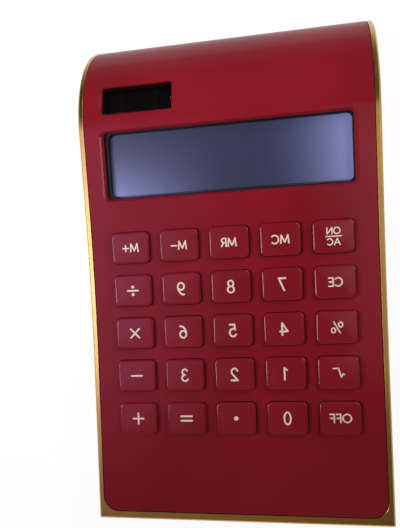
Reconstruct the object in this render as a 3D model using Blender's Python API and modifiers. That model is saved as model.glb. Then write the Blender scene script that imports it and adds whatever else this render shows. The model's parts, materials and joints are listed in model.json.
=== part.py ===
"""Desktop calculator: a lacquered front cover set in a gilt frame, with sprung keys, a display and a solar cell.

The object stands on the desk at z = 0, +Y points away from the user and X runs across the keys. Its side profile is
one path, measured from the front edge of the cover: a flat run under the keys, a slow hollow rise, a flat run round
the display and a roll that comes down the back. Every piece is set out from that path.
"""

import math

import bmesh
import bpy
from mathutils import Matrix

# Body and side profile
body_width = 0.1060
front_height = 0.0110
foot_stand = 0.0010
keyboard_tilt = math.radians(6.0)
keyboard_run = 0.0527
rise_run = 0.0599
rise_angle = math.radians(6.25)
display_run = 0.0269
roll_radius = 0.0359

# Gilt frame
side_rim = 0.0021
front_rim = 0.0029
rear_rim = 0.0029
rear_lip_height = 0.0060
rim_chamfer = 0.00115
flange_width = 0.0024
flange_thickness = 0.0012

# Clearances
seam = 0.00035
seat_gap = 0.0003
overrun = 0.0020
weld = 0.000001

# Front cover
cover_wall = 0.0018
cover_corner_radius = 0.0055

# Keys
key_side_border = 0.0170
key_spacing = 0.0040
row_pitch = 0.0156
row_spacing = 0.00425
nearest_row = 0.0344
key_height = 0.0014
key_corner_radius = 0.0022
key_fillet = 0.0006
key_gap = 0.0004
key_flange = 0.0008
key_flange_thickness = 0.0009
stem_width = 0.0044
stem_length = 0.0034
stem_corner_share = 0.25

# Circuit board and key mat, laid out along the flat run of the face
board_depth = 0.0071
board_thickness = 0.0016
board_margin = 0.0005
board_front_border = 0.0032
board_display_overlap = 0.0027
board_corner_radius = 0.0020
mat_border = 0.0080
mat_thickness = 0.0006
mat_corner_radius = 0.0015
dome_height = 0.0017
dome_base_radius = 0.0042
dome_top_radius = 0.0023
board_boss_radius = 0.0018
board_boss_border = 0.0020
board_boss_end_distance = 0.0056
board_screw_radius = 0.0010
board_screw_head_radius = 0.0017
board_screw_head_height = 0.0010
board_screw_length = 0.0048
board_hole_radius = 0.0014

# Display
window_offset = 0.0140
window_border = 0.0077
window_length = 0.0254
window_bevel = 0.0009
window_corner_radius = 0.0016
mask_wide_side = 0.00245
mask_narrow_side = 0.00025
mask_end = 0.00045
glass_corner_radius = 0.0015
bezel_thickness = 0.0012
bezel_border = 0.0016
lens_thickness = 0.0010
lcd_border = 0.0018
lcd_plate = 0.0011
lcd_ledge = 0.0024
reflector_thickness = 0.0003
strip_thickness = 0.0018
strip_margin = 0.0030

# Solar cell
solar_offset = 0.0107
solar_side_distance = 0.0221
solar_width = 0.0253
solar_length = 0.0100
solar_bevel = 0.0006
solar_corner_radius = 0.0006
solar_sink = 0.0007
solar_seat_depth = 0.0032
solar_seat_border = 0.0006
solar_flange = 0.0020
solar_flange_thickness = 0.0010
solar_cell_thickness = 0.0011

# Base plate, its screw wells and the feet
base_thickness = 0.0018
well_radius = 0.0036
well_height = 0.0024
counterbore_radius = 0.0028
counterbore_depth = 0.0026
screw_radius = 0.0012
screw_clearance = 0.0003
screw_head_radius = 0.0023
screw_head_height = 0.0014
screw_length = 0.0060
case_boss_radius = 0.0030
screw_side_distance = 0.0115
screw_face_share = 0.8
front_screw_offset = 0.0110
rear_screw_offset = 0.0150
foot_radius = 0.0045
foot_thickness = 0.0013
foot_recess = 0.0006
foot_side_distance = 0.0130
front_foot_offset = 0.0240
rear_foot_offset = 0.0290

# Battery bay
cell_radius = 0.00525
cell_length = 0.0435
cell_nub_radius = 0.0019
cell_nub_length = 0.0010
bay_rear_distance = 0.0525
bay_clearance = 0.0005
bay_wall = 0.0012
contact_space = 0.0045
contact_thickness = 0.0004
contact_width = 0.0088
contact_height = 0.0088
spring_wire_radius = 0.00035
spring_base_radius = 0.0034
spring_tip_radius = 0.0021
door_thickness = 0.0014
door_ledge = 0.0016
door_fit = 0.0004
door_hook_length = 0.0014
door_hook_width = 0.0060
door_hook_thickness = 0.0008
door_hook_reach = 0.0150
tongue_width = 0.0080
tongue_thickness = 0.0009
tongue_height = 0.0012
tongue_setback = 0.0006
grip_ridge_width = 0.0006
grip_ridge_length = 0.0120
grip_ridge_depth = 0.0004
grip_ridge_pitch = 0.0014
grip_edge_distance = 0.0030

# Small parts under the board
chip_radius = 0.0050
chip_crown_share = 0.6
chip_height = 0.0016
chip_end_distance = 0.0180
chip_reach = 0.0150
capacitor_radius = 0.0025
capacitor_length = 0.0050
capacitor_end_distance = 0.0160
capacitor_reach = 0.0250

# Counts and angles
corner_steps = 4
key_corner_steps = 3
rise_steps = 6
roll_steps = 24
round_steps = 16
dome_steps = 10
spring_turns = 4
spring_steps = 10
grip_ridge_count = 3
halvings = 40
sharp_edge_angle = math.radians(25.0)
flat_angle = math.radians(0.1)

# 1 lays the keys out as the photograph shows them, and -1 gives the other hand
hand = 1.0

# Key names, from the display down to the front edge, and from -X to +X
key_names = (
    ("key_m_plus", "key_m_minus", "key_mr", "key_mc", "key_on_ac"),
    ("key_divide", "key_9", "key_8", "key_7", "key_ce"),
    ("key_multiply", "key_6", "key_5", "key_4", "key_percent"),
    ("key_subtract", "key_3", "key_2", "key_1", "key_root"),
    ("key_add", "key_equals", "key_point", "key_0", "key_off"),
)

# Sizes that follow from the ones above
display_tilt = keyboard_tilt + rise_angle
roll_start = keyboard_run + rise_run + display_run
roll_turn = display_tilt + math.pi / 2
roll_length = roll_radius * roll_turn
cover_half = body_width / 2 - side_rim
column_pitch = (body_width - 2 * key_side_border) / (len(key_names[0]) - 1)
key_width = column_pitch - key_spacing
key_length = row_pitch - row_spacing
furthest_row = nearest_row + (len(key_names) - 1) * row_pitch
window_station = keyboard_run + rise_run + window_offset
window_width = body_width - 2 * window_border
glass_width = window_width - 2 * window_bevel - mask_wide_side - mask_narrow_side
glass_length = window_length - 2 * window_bevel - 2 * mask_end
glass_shift = (mask_wide_side - mask_narrow_side) / 2
solar_station = roll_start + solar_offset
solar_reach = body_width / 2 - solar_side_distance
mat_start = nearest_row - mat_border
mat_end = furthest_row + mat_border
mat_width = (len(key_names[0]) - 1) * column_pitch + 2 * mat_border
board_width = 2 * (cover_half - cover_wall - board_margin)
board_start = mat_start - board_front_border
board_end = window_station - glass_length / 2 + board_display_overlap
board_boss_reach = board_width / 2 - board_boss_border
first_boss_row = board_start + board_boss_end_distance
last_boss_row = mat_end - board_boss_end_distance
board_boss_rows = (first_boss_row, (first_boss_row + last_boss_row) / 2, last_boss_row)
chip_station = board_end - chip_end_distance
capacitor_station = board_end - capacitor_end_distance
screw_reach = body_width / 2 - screw_side_distance
foot_reach = body_width / 2 - foot_side_distance
base_top = foot_stand + base_thickness
flange_bottom = base_top + seat_gap
flange_top = flange_bottom + flange_thickness
skirt_bottom = flange_top + seat_gap
lip_top = foot_stand + rear_lip_height
bezel_top = cover_wall + seat_gap
bezel_bottom = bezel_top + bezel_thickness
lcd_top = bezel_bottom + seat_gap
lcd_bottom = lcd_top + 2 * lcd_plate
bay_length = cell_length + cell_nub_length + contact_space + contact_thickness + 2 * seat_gap
bay_width = 2 * (cell_radius + bay_clearance)
cell_height = foot_stand + door_thickness + bay_clearance + cell_radius
bay_roof = cell_height + cell_radius + bay_clearance
hatch_width = bay_length + 2 * door_ledge
door_width = hatch_width - 2 * door_fit
door_length = bay_width - 2 * door_fit


def face_point(station, inset=0.0):
    """(y, z, slope) of the side profile at a distance along the face, sunk by an inset along its normal."""
    y, z, slope, left = front_rim, front_height, keyboard_tilt, station
    for length, turn in ((keyboard_run, 0.0), (rise_run, rise_angle), (display_run, 0.0), (roll_length, -roll_turn)):
        step = min(left, length)
        if turn:
            radius = length / turn
            end = slope + step / radius
            y += radius * (math.sin(end) - math.sin(slope))
            z -= radius * (math.cos(end) - math.cos(slope))
            slope = end
        else:
            y += step * math.cos(slope)
            z += step * math.sin(slope)
        left -= step
        if left <= 0:
            break
    if left > 0:
        z -= left
    return y + inset * math.sin(slope), z - inset * math.cos(slope), slope


def station_at_height(level, inset=0.0):
    """Distance along the face to the place on the roll, or on the drop below it, that has a given height."""
    _, middle, _ = face_point(roll_start + roll_length)
    if level <= middle:
        return roll_start + roll_length + middle - level
    from_crest = math.acos(min(1.0, (level - middle) / (roll_radius - inset)))
    return roll_start + roll_radius * (display_tilt + from_crest)


def face_stations(first, last):
    """Stations that an outline along the face needs: its ends, the ends of the runs, and steps round both curves."""
    rise = [keyboard_run + rise_run * step / rise_steps for step in range(rise_steps + 1)]
    roll = [roll_start + roll_length * step / roll_steps for step in range(roll_steps + 1)]
    margin = roll_length / roll_steps / 4
    between = [station for station in rise + roll if first + margin < station < last - margin]
    return [first] + between + [last]


body_length = face_point(station_at_height(foot_stand))[0]
cover_rear = body_length - rear_rim - seam
bay_middle = body_length - bay_rear_distance


def face_frame(station, across=0.0, inset=0.0):
    """Matrix with its origin on the face, Y up along the face and Z out of it."""
    y, z, slope = face_point(station, inset)
    return Matrix.Translation((across, y, z)) @ Matrix.Rotation(slope, 4, "X")


def board_frame(along, across=0.0, depth=0.0):
    """Matrix in the board's plane, which runs parallel to the flat run of the face."""
    lift = Matrix.Translation((0.0, along, -depth))
    tilt = Matrix.Rotation(keyboard_tilt, 4, "X")
    return Matrix.Translation((across, front_rim, front_height)) @ tilt @ lift


def upright_frame(across, y, z):
    return Matrix.Translation((across, y, z))


def side_frame(across):
    """Matrix that stands a flat outline of (y, z) points upright, with its thickness along X."""
    turn = Matrix(((0, 0, 1, 0), (1, 0, 0, 0), (0, 1, 0, 0), (0, 0, 0, 1)))
    return Matrix.Translation((across, 0.0, 0.0)) @ turn


def clear_scene():
    for obj in list(bpy.data.objects):
        bpy.data.objects.remove(obj, do_unlink=True)


def new_collection(name, helper=False):
    collection = bpy.data.collections.new(name)
    bpy.context.scene.collection.children.link(collection)
    collection.hide_render = helper
    return collection


def new_material(name, color, roughness, metallic=0.0, alpha=1.0):
    material = bpy.data.materials.new(name)
    material.use_nodes = True
    shader = material.node_tree.nodes["Principled BSDF"]
    shader.inputs["Base Color"].default_value = (*color, 1.0)
    shader.inputs["Roughness"].default_value = roughness
    shader.inputs["Metallic"].default_value = metallic
    shader.inputs["Alpha"].default_value = alpha
    return material


def place(obj, collection):
    """Moves an object into a collection and under the empty that centres the whole part on its base."""
    for old in list(obj.users_collection):
        old.objects.unlink(obj)
    collection.objects.link(obj)
    obj.parent = bpy.data.objects["calculator_base_centre"]


def as_part(obj, name, material):
    obj.name = name
    obj.data.name = name
    obj.data.materials.clear()
    obj.data.materials.append(material)
    obj.data.shade_smooth()
    obj.data.set_sharp_from_angle(angle=sharp_edge_angle)
    place(obj, bpy.data.collections["desktop_calculator"])
    return obj


def as_cutter(obj, name):
    obj.name = name
    obj.hide_render = True
    obj.display_type = "WIRE"
    place(obj, bpy.data.collections["cutters"])
    return obj


def combine(target, tool, operation):
    """Adds one exact Boolean to the target, with a helper mesh as its tool."""
    as_cutter(tool, f"{target.name}_{operation.lower()}_{len(target.modifiers)}")
    modifier = target.modifiers.new(operation.title(), "BOOLEAN")
    modifier.operation = operation
    modifier.solver = "EXACT"
    modifier.object = tool
    return target


def cut(target, tool):
    return combine(target, tool, "DIFFERENCE")


def add(target, tool):
    return combine(target, tool, "UNION")


def keep_inside(target, tool):
    return combine(target, tool, "INTERSECT")


def mesh_object(name, mesh, matrix):
    obj = bpy.data.objects.new(name, mesh)
    bpy.context.scene.collection.objects.link(obj)
    obj.matrix_world = matrix
    return obj


def tidy_mesh(obj, flatten=True):
    """Welds a mesh's doubled points, joins the triangles of its flat faces and turns all faces outwards."""
    mesh = bmesh.new()
    mesh.from_mesh(obj.data)
    bmesh.ops.remove_doubles(mesh, verts=mesh.verts, dist=weld)
    if flatten:
        bmesh.ops.dissolve_limit(mesh, angle_limit=flat_angle, verts=mesh.verts, edges=mesh.edges)
    bmesh.ops.recalc_face_normals(mesh, faces=mesh.faces)
    mesh.to_mesh(obj.data)
    mesh.free()
    return obj


def curve_object(name, points, closed, flat):
    curve = bpy.data.curves.new(name, "CURVE")
    curve.dimensions = "2D" if flat else "3D"
    spline = curve.splines.new("POLY")
    spline.points.add(len(points) - 1)
    for point, place_at in zip(spline.points, points):
        point.co = (*place_at, 0.0, 1.0) if flat else (*place_at, 1.0)
    spline.use_cyclic_u = closed
    obj = bpy.data.objects.new(name, curve)
    bpy.context.scene.collection.objects.link(obj)
    return obj


def as_mesh(obj, matrix, flatten):
    """Replaces a curve object with the welded mesh that it makes."""
    bpy.context.view_layer.update()
    graph = bpy.context.evaluated_depsgraph_get()
    mesh = bpy.data.meshes.new_from_object(obj.evaluated_get(graph))
    solid = mesh_object(obj.name, mesh, matrix)
    bpy.data.objects.remove(obj, do_unlink=True)
    return tidy_mesh(solid, flatten)


def plate(name, outline, low, high, matrix):
    """A flat outline given a thickness, from one height to another in the matrix's own Z."""
    obj = curve_object(name, outline, True, True)
    obj.data.fill_mode = "BOTH"
    obj.data.extrude = (high - low) / 2
    return as_mesh(obj, matrix @ Matrix.Translation((0.0, 0.0, (high + low) / 2)), True)


def tube(name, points, radius, matrix):
    """A round wire with filled ends along a list of points."""
    obj = curve_object(name, points, False, False)
    obj.data.bevel_depth = radius
    obj.data.bevel_resolution = 1
    obj.data.use_fill_caps = True
    return as_mesh(obj, matrix, False)


def cylinder(name, radius, low, high, matrix, steps=round_steps, top_radius=None):
    """A cylinder or cone along the matrix's own Z, from one height to another."""
    mesh = bpy.data.meshes.new(name)
    shape = bmesh.new()
    top = radius if top_radius is None else top_radius
    lift = Matrix.Translation((0.0, 0.0, (high + low) / 2))
    bmesh.ops.create_cone(
        shape, cap_ends=True, segments=steps, radius1=radius, radius2=top, depth=high - low, matrix=lift
    )
    shape.to_mesh(mesh)
    shape.free()
    return mesh_object(name, mesh, matrix)


def joined(name, pieces):
    """One object that holds several separate solids, in world coordinates of the first one's parent."""
    shape = bmesh.new()
    for piece in pieces:
        start = len(shape.verts)
        shape.from_mesh(piece.data)
        shape.verts.ensure_lookup_table()
        bmesh.ops.transform(shape, matrix=piece.matrix_world, verts=shape.verts[start:])
        bpy.data.objects.remove(piece, do_unlink=True)
    mesh = bpy.data.meshes.new(name)
    shape.to_mesh(mesh)
    shape.free()
    return mesh_object(name, mesh, Matrix.Identity(4))


def rectangle(width, length, radius=0.0, steps=corner_steps, middle=(0.0, 0.0)):
    """Outline of a rectangle with round corners, anticlockwise, about its middle."""
    if not radius:
        corners = ((1, -1), (1, 1), (-1, 1), (-1, -1))
        return [(middle[0] + sx * width / 2, middle[1] + sy * length / 2) for sx, sy in corners]
    points = []
    for quarter, (sx, sy) in enumerate(((1, -1), (1, 1), (-1, 1), (-1, -1))):
        centre_x = middle[0] + sx * (width / 2 - radius)
        centre_y = middle[1] + sy * (length / 2 - radius)
        for step in range(steps + 1):
            angle = math.pi / 2 * (quarter - 1 + step / steps)
            points.append((centre_x + radius * math.cos(angle), centre_y + radius * math.sin(angle)))
    return points


def loft(name, sections, matrix):
    """A closed skin through (height, outline) sections of equal point count, capped flat at both ends."""
    shape = bmesh.new()
    rings = [[shape.verts.new((x, y, height)) for x, y in outline] for height, outline in sections]
    for low, high in zip(rings, rings[1:]):
        for i in range(len(low)):
            j = (i + 1) % len(low)
            shape.faces.new((low[i], low[j], high[j], high[i]))
    shape.faces.new(list(reversed(rings[0])))
    shape.faces.new(rings[-1])
    mesh = bpy.data.meshes.new(name)
    shape.to_mesh(mesh)
    shape.free()
    return mesh_object(name, mesh, matrix)


def flared_cutter(name, width, length, radius, bevel, depth, matrix):
    """A window's cutter: straight below, and widening at 45 degrees through its bevel and on past the face."""
    sections = []
    for height, grow in ((-depth, -bevel), (-bevel, -bevel), (overrun, overrun)):
        outline = rectangle(width + 2 * grow, length + 2 * grow, max(radius + grow, radius / 2))
        sections.append((height, outline))
    return loft(name, sections, matrix)


def plan_outline(grow, rear):
    """The cover's outline from above, grown on all sides: round corners at the front and square ones at the rear."""
    half, front, radius = cover_half + grow, front_rim - grow, cover_corner_radius + grow
    points = [(half, rear), (-half, rear)]
    for side, start in ((-1, math.pi), (1, 3 * math.pi / 2)):
        for step in range(corner_steps + 1):
            angle = start + math.pi / 2 * step / corner_steps
            points.append(
                (side * (half - radius) + radius * math.cos(angle), front + radius + radius * math.sin(angle))
            )
    return points


def plan_block(name, grow, rear, low, high):
    return plate(name, plan_outline(grow, rear), low, high, Matrix.Identity(4))


def side_block(name, outline, half_width):
    return plate(name, outline, -half_width, half_width, side_frame(0.0))


def front_station(y, inset=0.0):
    """Station at which the flat run of the face, sunk by an inset, passes a given y."""
    return (y - inset * math.sin(keyboard_tilt) - front_rim) / math.cos(keyboard_tilt)


def profile_points(first, last, inset=0.0):
    return [face_point(station, inset)[:2] for station in face_stations(first, last)]


def make_trim_frame(material):
    """The gilt ring: side walls that follow the face, a front wall, a low rear lip and an inner flange."""
    base_end = station_at_height(foot_stand)
    outline = [(0.0, foot_stand)] + profile_points(front_station(0.0), base_end)
    frame = as_part(side_block("trim_frame", outline, body_width / 2), "trim_frame", material)
    chamfer_rim(frame)
    top = roll_radius + front_height + body_length
    opening = plan_block("opening", seam - flange_width, cover_rear + seam - flange_width, -overrun, top)
    cut(frame, opening)
    pocket_rear = cover_rear + seam
    beyond = body_length + overrun
    pocket_sides = [
        (-overrun, flange_top),
        (pocket_rear, flange_top),
        (pocket_rear, lip_top),
        (beyond, lip_top),
        (beyond, top),
        (-overrun, top),
    ]
    pocket = side_block("pocket", pocket_sides, body_width)
    keep_inside(pocket, plan_block("pocket_plan", seam, beyond + overrun, -overrun, top + overrun))
    cut(frame, pocket)
    cut(frame, plan_block("base_pocket", seam, pocket_rear, -overrun, flange_bottom))
    return frame


def chamfer_rim(frame):
    """Chamfers the rim's outer edges: along the face on both sides, and across the front."""
    shape = bmesh.new()
    shape.from_mesh(frame.data)
    rim = []
    for edge in shape.edges:
        ends = [frame.matrix_world @ vert.co for vert in edge.verts]
        above = all(end.z > foot_stand + weld for end in ends)
        runs_along = abs(ends[0].x - ends[1].x) < weld and abs(ends[0].y - ends[1].y) > weld
        at_base = min(end.z for end in ends) < foot_stand + weld and max(end.y for end in ends) > body_length / 2
        crosses_front = above and max(end.y for end in ends) < weld and abs(ends[0].x - ends[1].x) > weld
        if crosses_front or (runs_along and (above or at_base) and not lies_on_base(ends)):
            rim.append(edge)
    bmesh.ops.bevel(shape, geom=rim, offset=rim_chamfer, segments=1, profile=0.5, affect="EDGES", loop_slide=True)
    bmesh.ops.recalc_face_normals(shape, faces=shape.faces)
    shape.to_mesh(frame.data)
    shape.free()


def lies_on_base(ends):
    return all(end.z < foot_stand + weld for end in ends)


def cover_outline(inset, floor):
    """The cover's side outline: the face, then a step inside the rear lip and down to its skirt."""
    front = front_rim + inset
    step_height = lip_top + seam + inset
    rear = cover_rear - inset
    face = profile_points(front_station(front, inset), station_at_height(step_height, inset), inset)
    return [(front, floor)] + face + [(rear, step_height), (rear, floor)]


def make_front_cover(material):
    """The lacquered shell: its face, its skirt, the seats and bosses under it, and the holes through it."""
    beyond = body_length + overrun
    top = roll_radius + front_height + body_length
    outer = side_block("front_cover", cover_outline(0.0, skirt_bottom), body_width)
    cover = as_part(outer, "front_cover", material)
    keep_inside(cover, plan_block("cover_plan", 0.0, beyond, -overrun, top))
    hollow = side_block("hollow", cover_outline(cover_wall, -overrun), body_width)
    keep_inside(hollow, plan_block("hollow_plan", -cover_wall, beyond, -2 * overrun, top))
    cut(cover, hollow)
    add(cover, joined("bosses", cover_bosses()))
    add(cover, solar_seat())
    cut(cover, joined("key_holes", key_hole_cutters()))
    cut(cover, display_window_cutter())
    cut(cover, solar_window_cutter())
    cut(cover, joined("pilot_holes", pilot_hole_cutters()))
    return cover


def case_screw_places():
    """(x, y) of the four screws that pull the base plate up to the cover."""
    front = front_rim + front_screw_offset
    rear = body_length - rear_screw_offset
    return [(side * screw_reach, y) for y in (front, rear) for side in (-1, 1)]


def board_screw_places():
    """(x, distance along the board) of the screws that hold the board up to the cover."""
    return [(side * board_boss_reach, along) for along in board_boss_rows for side in (-1, 1)]


def face_above(y):
    """Height and slope of the face over a given y, found by halving the stretch of face that holds it."""
    low, high = 0.0, roll_start + roll_length
    for _ in range(halvings):
        middle = (low + high) / 2
        if face_point(middle)[0] < y:
            low = middle
        else:
            high = middle
    return face_point(low)[1:]


def cover_bosses():
    """Posts under the cover: upright ones for the case screws, and ones square to the board for its screws."""
    pieces = []
    for x, y in case_screw_places():
        z, slope = face_above(y)
        top = z - cover_wall / 2 / math.cos(slope) - case_boss_radius * abs(math.tan(slope))
        pieces.append(cylinder("post", case_boss_radius, well_top() + seat_gap, top, upright_frame(x, y, 0.0)))
    for x, along in board_screw_places():
        top = face_over_board(along) - cover_wall / 2
        frame = board_frame(along, x)
        pieces.append(cylinder("post", board_boss_radius, -board_depth + seat_gap, top, frame))
    return pieces


def face_over_board(along):
    """How far the face stands over the board's reference plane, measured square to that plane."""
    if along <= keyboard_run:
        return 0.0
    radius = rise_run / rise_angle
    turn = min(math.asin(min(1.0, (along - keyboard_run) / radius)), rise_angle)
    rest = max(0.0, along - keyboard_run - radius * math.sin(turn))
    return radius * (1 - math.cos(turn)) + rest * math.tan(turn)


def well_top():
    return base_top + well_height


def pilot_hole_cutters():
    """Blind holes that the screws thread into."""
    pieces = []
    for x, y in case_screw_places():
        frame = upright_frame(x, y, 0.0)
        end = case_screw_seat() + screw_length + 2 * seat_gap
        pieces.append(cylinder("pilot", screw_radius + seat_gap, well_top() - overrun, end, frame))
    for x, along in board_screw_places():
        end = board_screw_length - board_depth - board_thickness
        frame = board_frame(along, x)
        pieces.append(cylinder("pilot", board_screw_radius + seat_gap, -board_depth - overrun, end, frame))
    return pieces


def case_screw_seat():
    """Height of the counterbore's floor, less the gap under which the screw's head sits."""
    return foot_stand + counterbore_depth - seat_gap


def key_places():
    """(name, x, station) of every key, row by row from the display to the front."""
    places = []
    rows, columns = len(key_names), len(key_names[0])
    for row, names in enumerate(key_names):
        station = nearest_row + (rows - 1 - row) * row_pitch
        for column, name in enumerate(names):
            places.append((name, hand * (column - (columns - 1) / 2) * column_pitch, station))
    return places


def key_hole_cutters():
    width, length = key_width + 2 * key_gap, key_length + 2 * key_gap
    radius = key_corner_radius + key_gap
    pieces = []
    for _, x, station in key_places():
        outline = rectangle(width, length, radius, key_corner_steps)
        pieces.append(plate("key_hole", outline, -cover_wall - overrun, overrun, face_frame(station, x)))
    return pieces


def display_window_cutter():
    frame = face_frame(window_station)
    depth = cover_wall + overrun
    return flared_cutter(
        "display_window", window_width, window_length, window_corner_radius, window_bevel, depth, frame
    )


def solar_frame(depth=0.0):
    return face_frame(solar_station, -hand * solar_reach, depth)


def solar_seat():
    """A flat pad under the roll that the solar window's flange bears on."""
    border = 2 * (solar_flange + solar_seat_border)
    outline = rectangle(solar_width + border, solar_length + border)
    return plate("solar_pad", outline, -solar_seat_depth, -cover_wall / 2 - roll_sagitta(), solar_frame())


def roll_sagitta():
    """How far the roll falls away from its tangent plane at the edge of the solar window's pad."""
    half = solar_length / 2 + solar_flange + solar_seat_border
    return roll_radius - math.sqrt(max(roll_radius**2 - half**2, 0.0))


def solar_window_cutter():
    depth = solar_seat_depth + overrun
    return flared_cutter(
        "solar_opening",
        solar_width + 2 * solar_bevel + 2 * seat_gap,
        solar_length + 2 * solar_bevel + 2 * seat_gap,
        solar_corner_radius + solar_bevel,
        solar_bevel,
        depth,
        solar_frame(),
    )


def key_stem_end(station):
    """Depth below the face, along the key's own line, at which its stem stops just over the dome."""
    y, z, slope = face_point(station)
    lean = slope - keyboard_tilt
    rise = (z - front_height) * math.cos(keyboard_tilt) - (y - front_rim) * math.sin(keyboard_tilt)
    dome_top = board_depth - seat_gap - mat_thickness - dome_height
    return (rise + dome_top - seat_gap) / math.cos(lean)


def make_key(name, x, station, material):
    """A key: its cap with a rounded top edge, the flange that stops under the cover, and the stem over its dome."""
    flange_top_depth = cover_wall + seat_gap
    flange_bottom_depth = flange_top_depth + key_flange_thickness
    stem = rectangle(stem_width, stem_length, stem_length * stem_corner_share, key_corner_steps)
    flange = rectangle(
        key_width + 2 * key_flange,
        key_length + 2 * key_flange,
        key_corner_radius + key_flange,
        key_corner_steps,
    )
    sections = [
        (-key_stem_end(station), stem),
        (-flange_bottom_depth, stem),
        (-flange_bottom_depth, flange),
        (-flange_top_depth, flange),
    ]
    for height, shrink in ((-flange_top_depth, 0.0), (key_height - key_fillet, 0.0), (key_height, key_fillet)):
        outline = rectangle(
            key_width - 2 * shrink, key_length - 2 * shrink, key_corner_radius - shrink, key_corner_steps
        )
        sections.append((height, outline))
    return as_part(loft(name, sections, face_frame(station, x)), name, material)


def dome_along(station):
    """Distance along the board at which a key's own line meets the key mat's domes."""
    y, z, slope = face_point(station)
    along = (y - front_rim) * math.cos(keyboard_tilt) + (z - front_height) * math.sin(keyboard_tilt)
    return along + key_stem_end(station) * math.sin(slope - keyboard_tilt)


def make_key_mat(material):
    """The silicone sheet with a collapsing dome under each key."""
    bottom = -board_depth + seat_gap
    top = bottom + mat_thickness
    middle = (mat_start + mat_end) / 2
    outline = rectangle(mat_width, mat_end - mat_start, mat_corner_radius)
    sheet = plate("key_mat", outline, bottom, top, board_frame(middle))
    mat = as_part(sheet, "key_mat", material)
    domes = []
    for _, x, station in key_places():
        frame = board_frame(dome_along(station), x)
        foot = top - mat_thickness / 2
        domes.append(
            cylinder("dome", dome_base_radius, foot, top + dome_height, frame, dome_steps, dome_top_radius)
        )
    return add(mat, joined("domes", domes))


def make_circuit_board(material):
    outline = rectangle(board_width, board_end - board_start, board_corner_radius)
    middle = (board_start + board_end) / 2
    bottom = -board_depth - board_thickness
    board = as_part(plate("board", outline, bottom, -board_depth, board_frame(middle)), "circuit_board", material)
    holes = []
    for x, along in board_screw_places():
        holes.append(cylinder("hole", board_hole_radius, bottom - overrun, overrun - board_depth, board_frame(along, x)))
    return cut(board, joined("board_holes", holes))


def screw_profile(name, head_radius, head_height, shank_radius, length, matrix):
    """A plain pan-headed screw, head down, with its seat at zero and its shank along +Z."""
    obj = curve_object(
        name,
        [
            (0.0, length, 0.0),
            (shank_radius / 2, length, 0.0),
            (shank_radius, length - shank_radius, 0.0),
            (shank_radius, 0.0, 0.0),
            (head_radius, 0.0, 0.0),
            (head_radius, -head_height / 2, 0.0),
            (head_radius * screw_face_share, -head_height, 0.0),
            (0.0, -head_height, 0.0),
        ],
        False,
        False,
    )
    turn = obj.modifiers.new("Turn", "SCREW")
    turn.axis = "Y"
    turn.steps = dome_steps
    turn.render_steps = dome_steps
    turn.use_merge_vertices = True
    turn.merge_threshold = weld
    solid = as_mesh(obj, Matrix.Identity(4), False)
    solid.matrix_world = matrix @ Matrix.Rotation(math.pi / 2, 4, "X")
    return solid


def make_case_screws(material):
    for number, (x, y) in enumerate(case_screw_places(), 1):
        frame = upright_frame(x, y, case_screw_seat())
        screw = screw_profile("screw", screw_head_radius, screw_head_height, screw_radius, screw_length, frame)
        as_part(screw, f"case_screw_{number}", material)


def make_board_screws(material):
    head_radius, head_height = board_screw_head_radius, board_screw_head_height
    for number, (x, along) in enumerate(board_screw_places(), 1):
        frame = board_frame(along, x, board_depth + board_thickness + seat_gap)
        screw = screw_profile("screw", head_radius, head_height, board_screw_radius, board_screw_length, frame)
        as_part(screw, f"board_screw_{number}", material)


def glass_frame(depth):
    return face_frame(window_station, hand * glass_shift, depth)


def make_display_bezel(material):
    """The black frame that closes the gap between the cover's window and the display glass."""
    width = window_width - 2 * window_bevel + 2 * bezel_border
    length = window_length - 2 * window_bevel + 2 * bezel_border
    outer = rectangle(width, length, bezel_border / 2)
    frame = face_frame(window_station)
    bezel = as_part(plate("bezel", outer, -bezel_bottom, -bezel_top, frame), "display_bezel", material)
    inner = rectangle(glass_width, glass_length, glass_corner_radius)
    return cut(bezel, plate("glass_opening", inner, -overrun, overrun, glass_frame(bezel_bottom)))


def make_display_lens(material):
    width, length = glass_width - 2 * seat_gap, glass_length - 2 * seat_gap
    outline = rectangle(width, length, glass_corner_radius - seat_gap)
    bottom = bezel_bottom - seat_gap / 2
    return as_part(plate("lens", outline, 0.0, lens_thickness, glass_frame(bottom)), "display_lens", material)


def make_lcd_glass(material):
    """Two bonded glass plates, the lower one reaching further to carry the contacts."""
    width, length = glass_width + 2 * lcd_border, glass_length + 2 * lcd_border
    back_outline = rectangle(width, length)
    back = as_part(
        plate("lcd", back_outline, 0.0, lcd_plate, glass_frame(lcd_bottom)), "lcd_glass", material
    )
    short = rectangle(width, length - lcd_ledge, middle=(0.0, lcd_ledge / 2))
    return add(back, plate("upper_plate", short, lcd_plate / 2, 2 * lcd_plate, glass_frame(lcd_bottom)))


def make_lcd_reflector(material):
    width, length = glass_width + 2 * lcd_border, glass_length
    outline = rectangle(width, length, middle=(0.0, lcd_border))
    top = lcd_bottom + seat_gap
    frame = glass_frame(top)
    return as_part(plate("foil", outline, -reflector_thickness, 0.0, frame), "lcd_reflector", material)


def make_contact_strip(material):
    """The elastomer strip that joins the display's contacts to the board, wedge-shaped between the two planes."""
    station = window_station - glass_length / 2 - lcd_border + strip_thickness / 2 + seat_gap
    points = []
    for offset in (-strip_thickness / 2, strip_thickness / 2):
        y, z, slope = face_point(station + offset, lcd_bottom + seat_gap)
        points.append((y, z))
    low_ends = []
    for y, z in points:
        along = (y - front_rim) * math.cos(keyboard_tilt) + (z - front_height) * math.sin(keyboard_tilt)
        low = board_frame(along, 0.0, board_depth - seat_gap).translation
        low_ends.append((low.y, low.z))
    outline = [low_ends[0], low_ends[1], points[1], points[0]]
    half = glass_width / 2 - strip_margin
    strip = plate("strip", outline, -half, half, side_frame(hand * glass_shift))
    return as_part(strip, "contact_strip", material)


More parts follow.
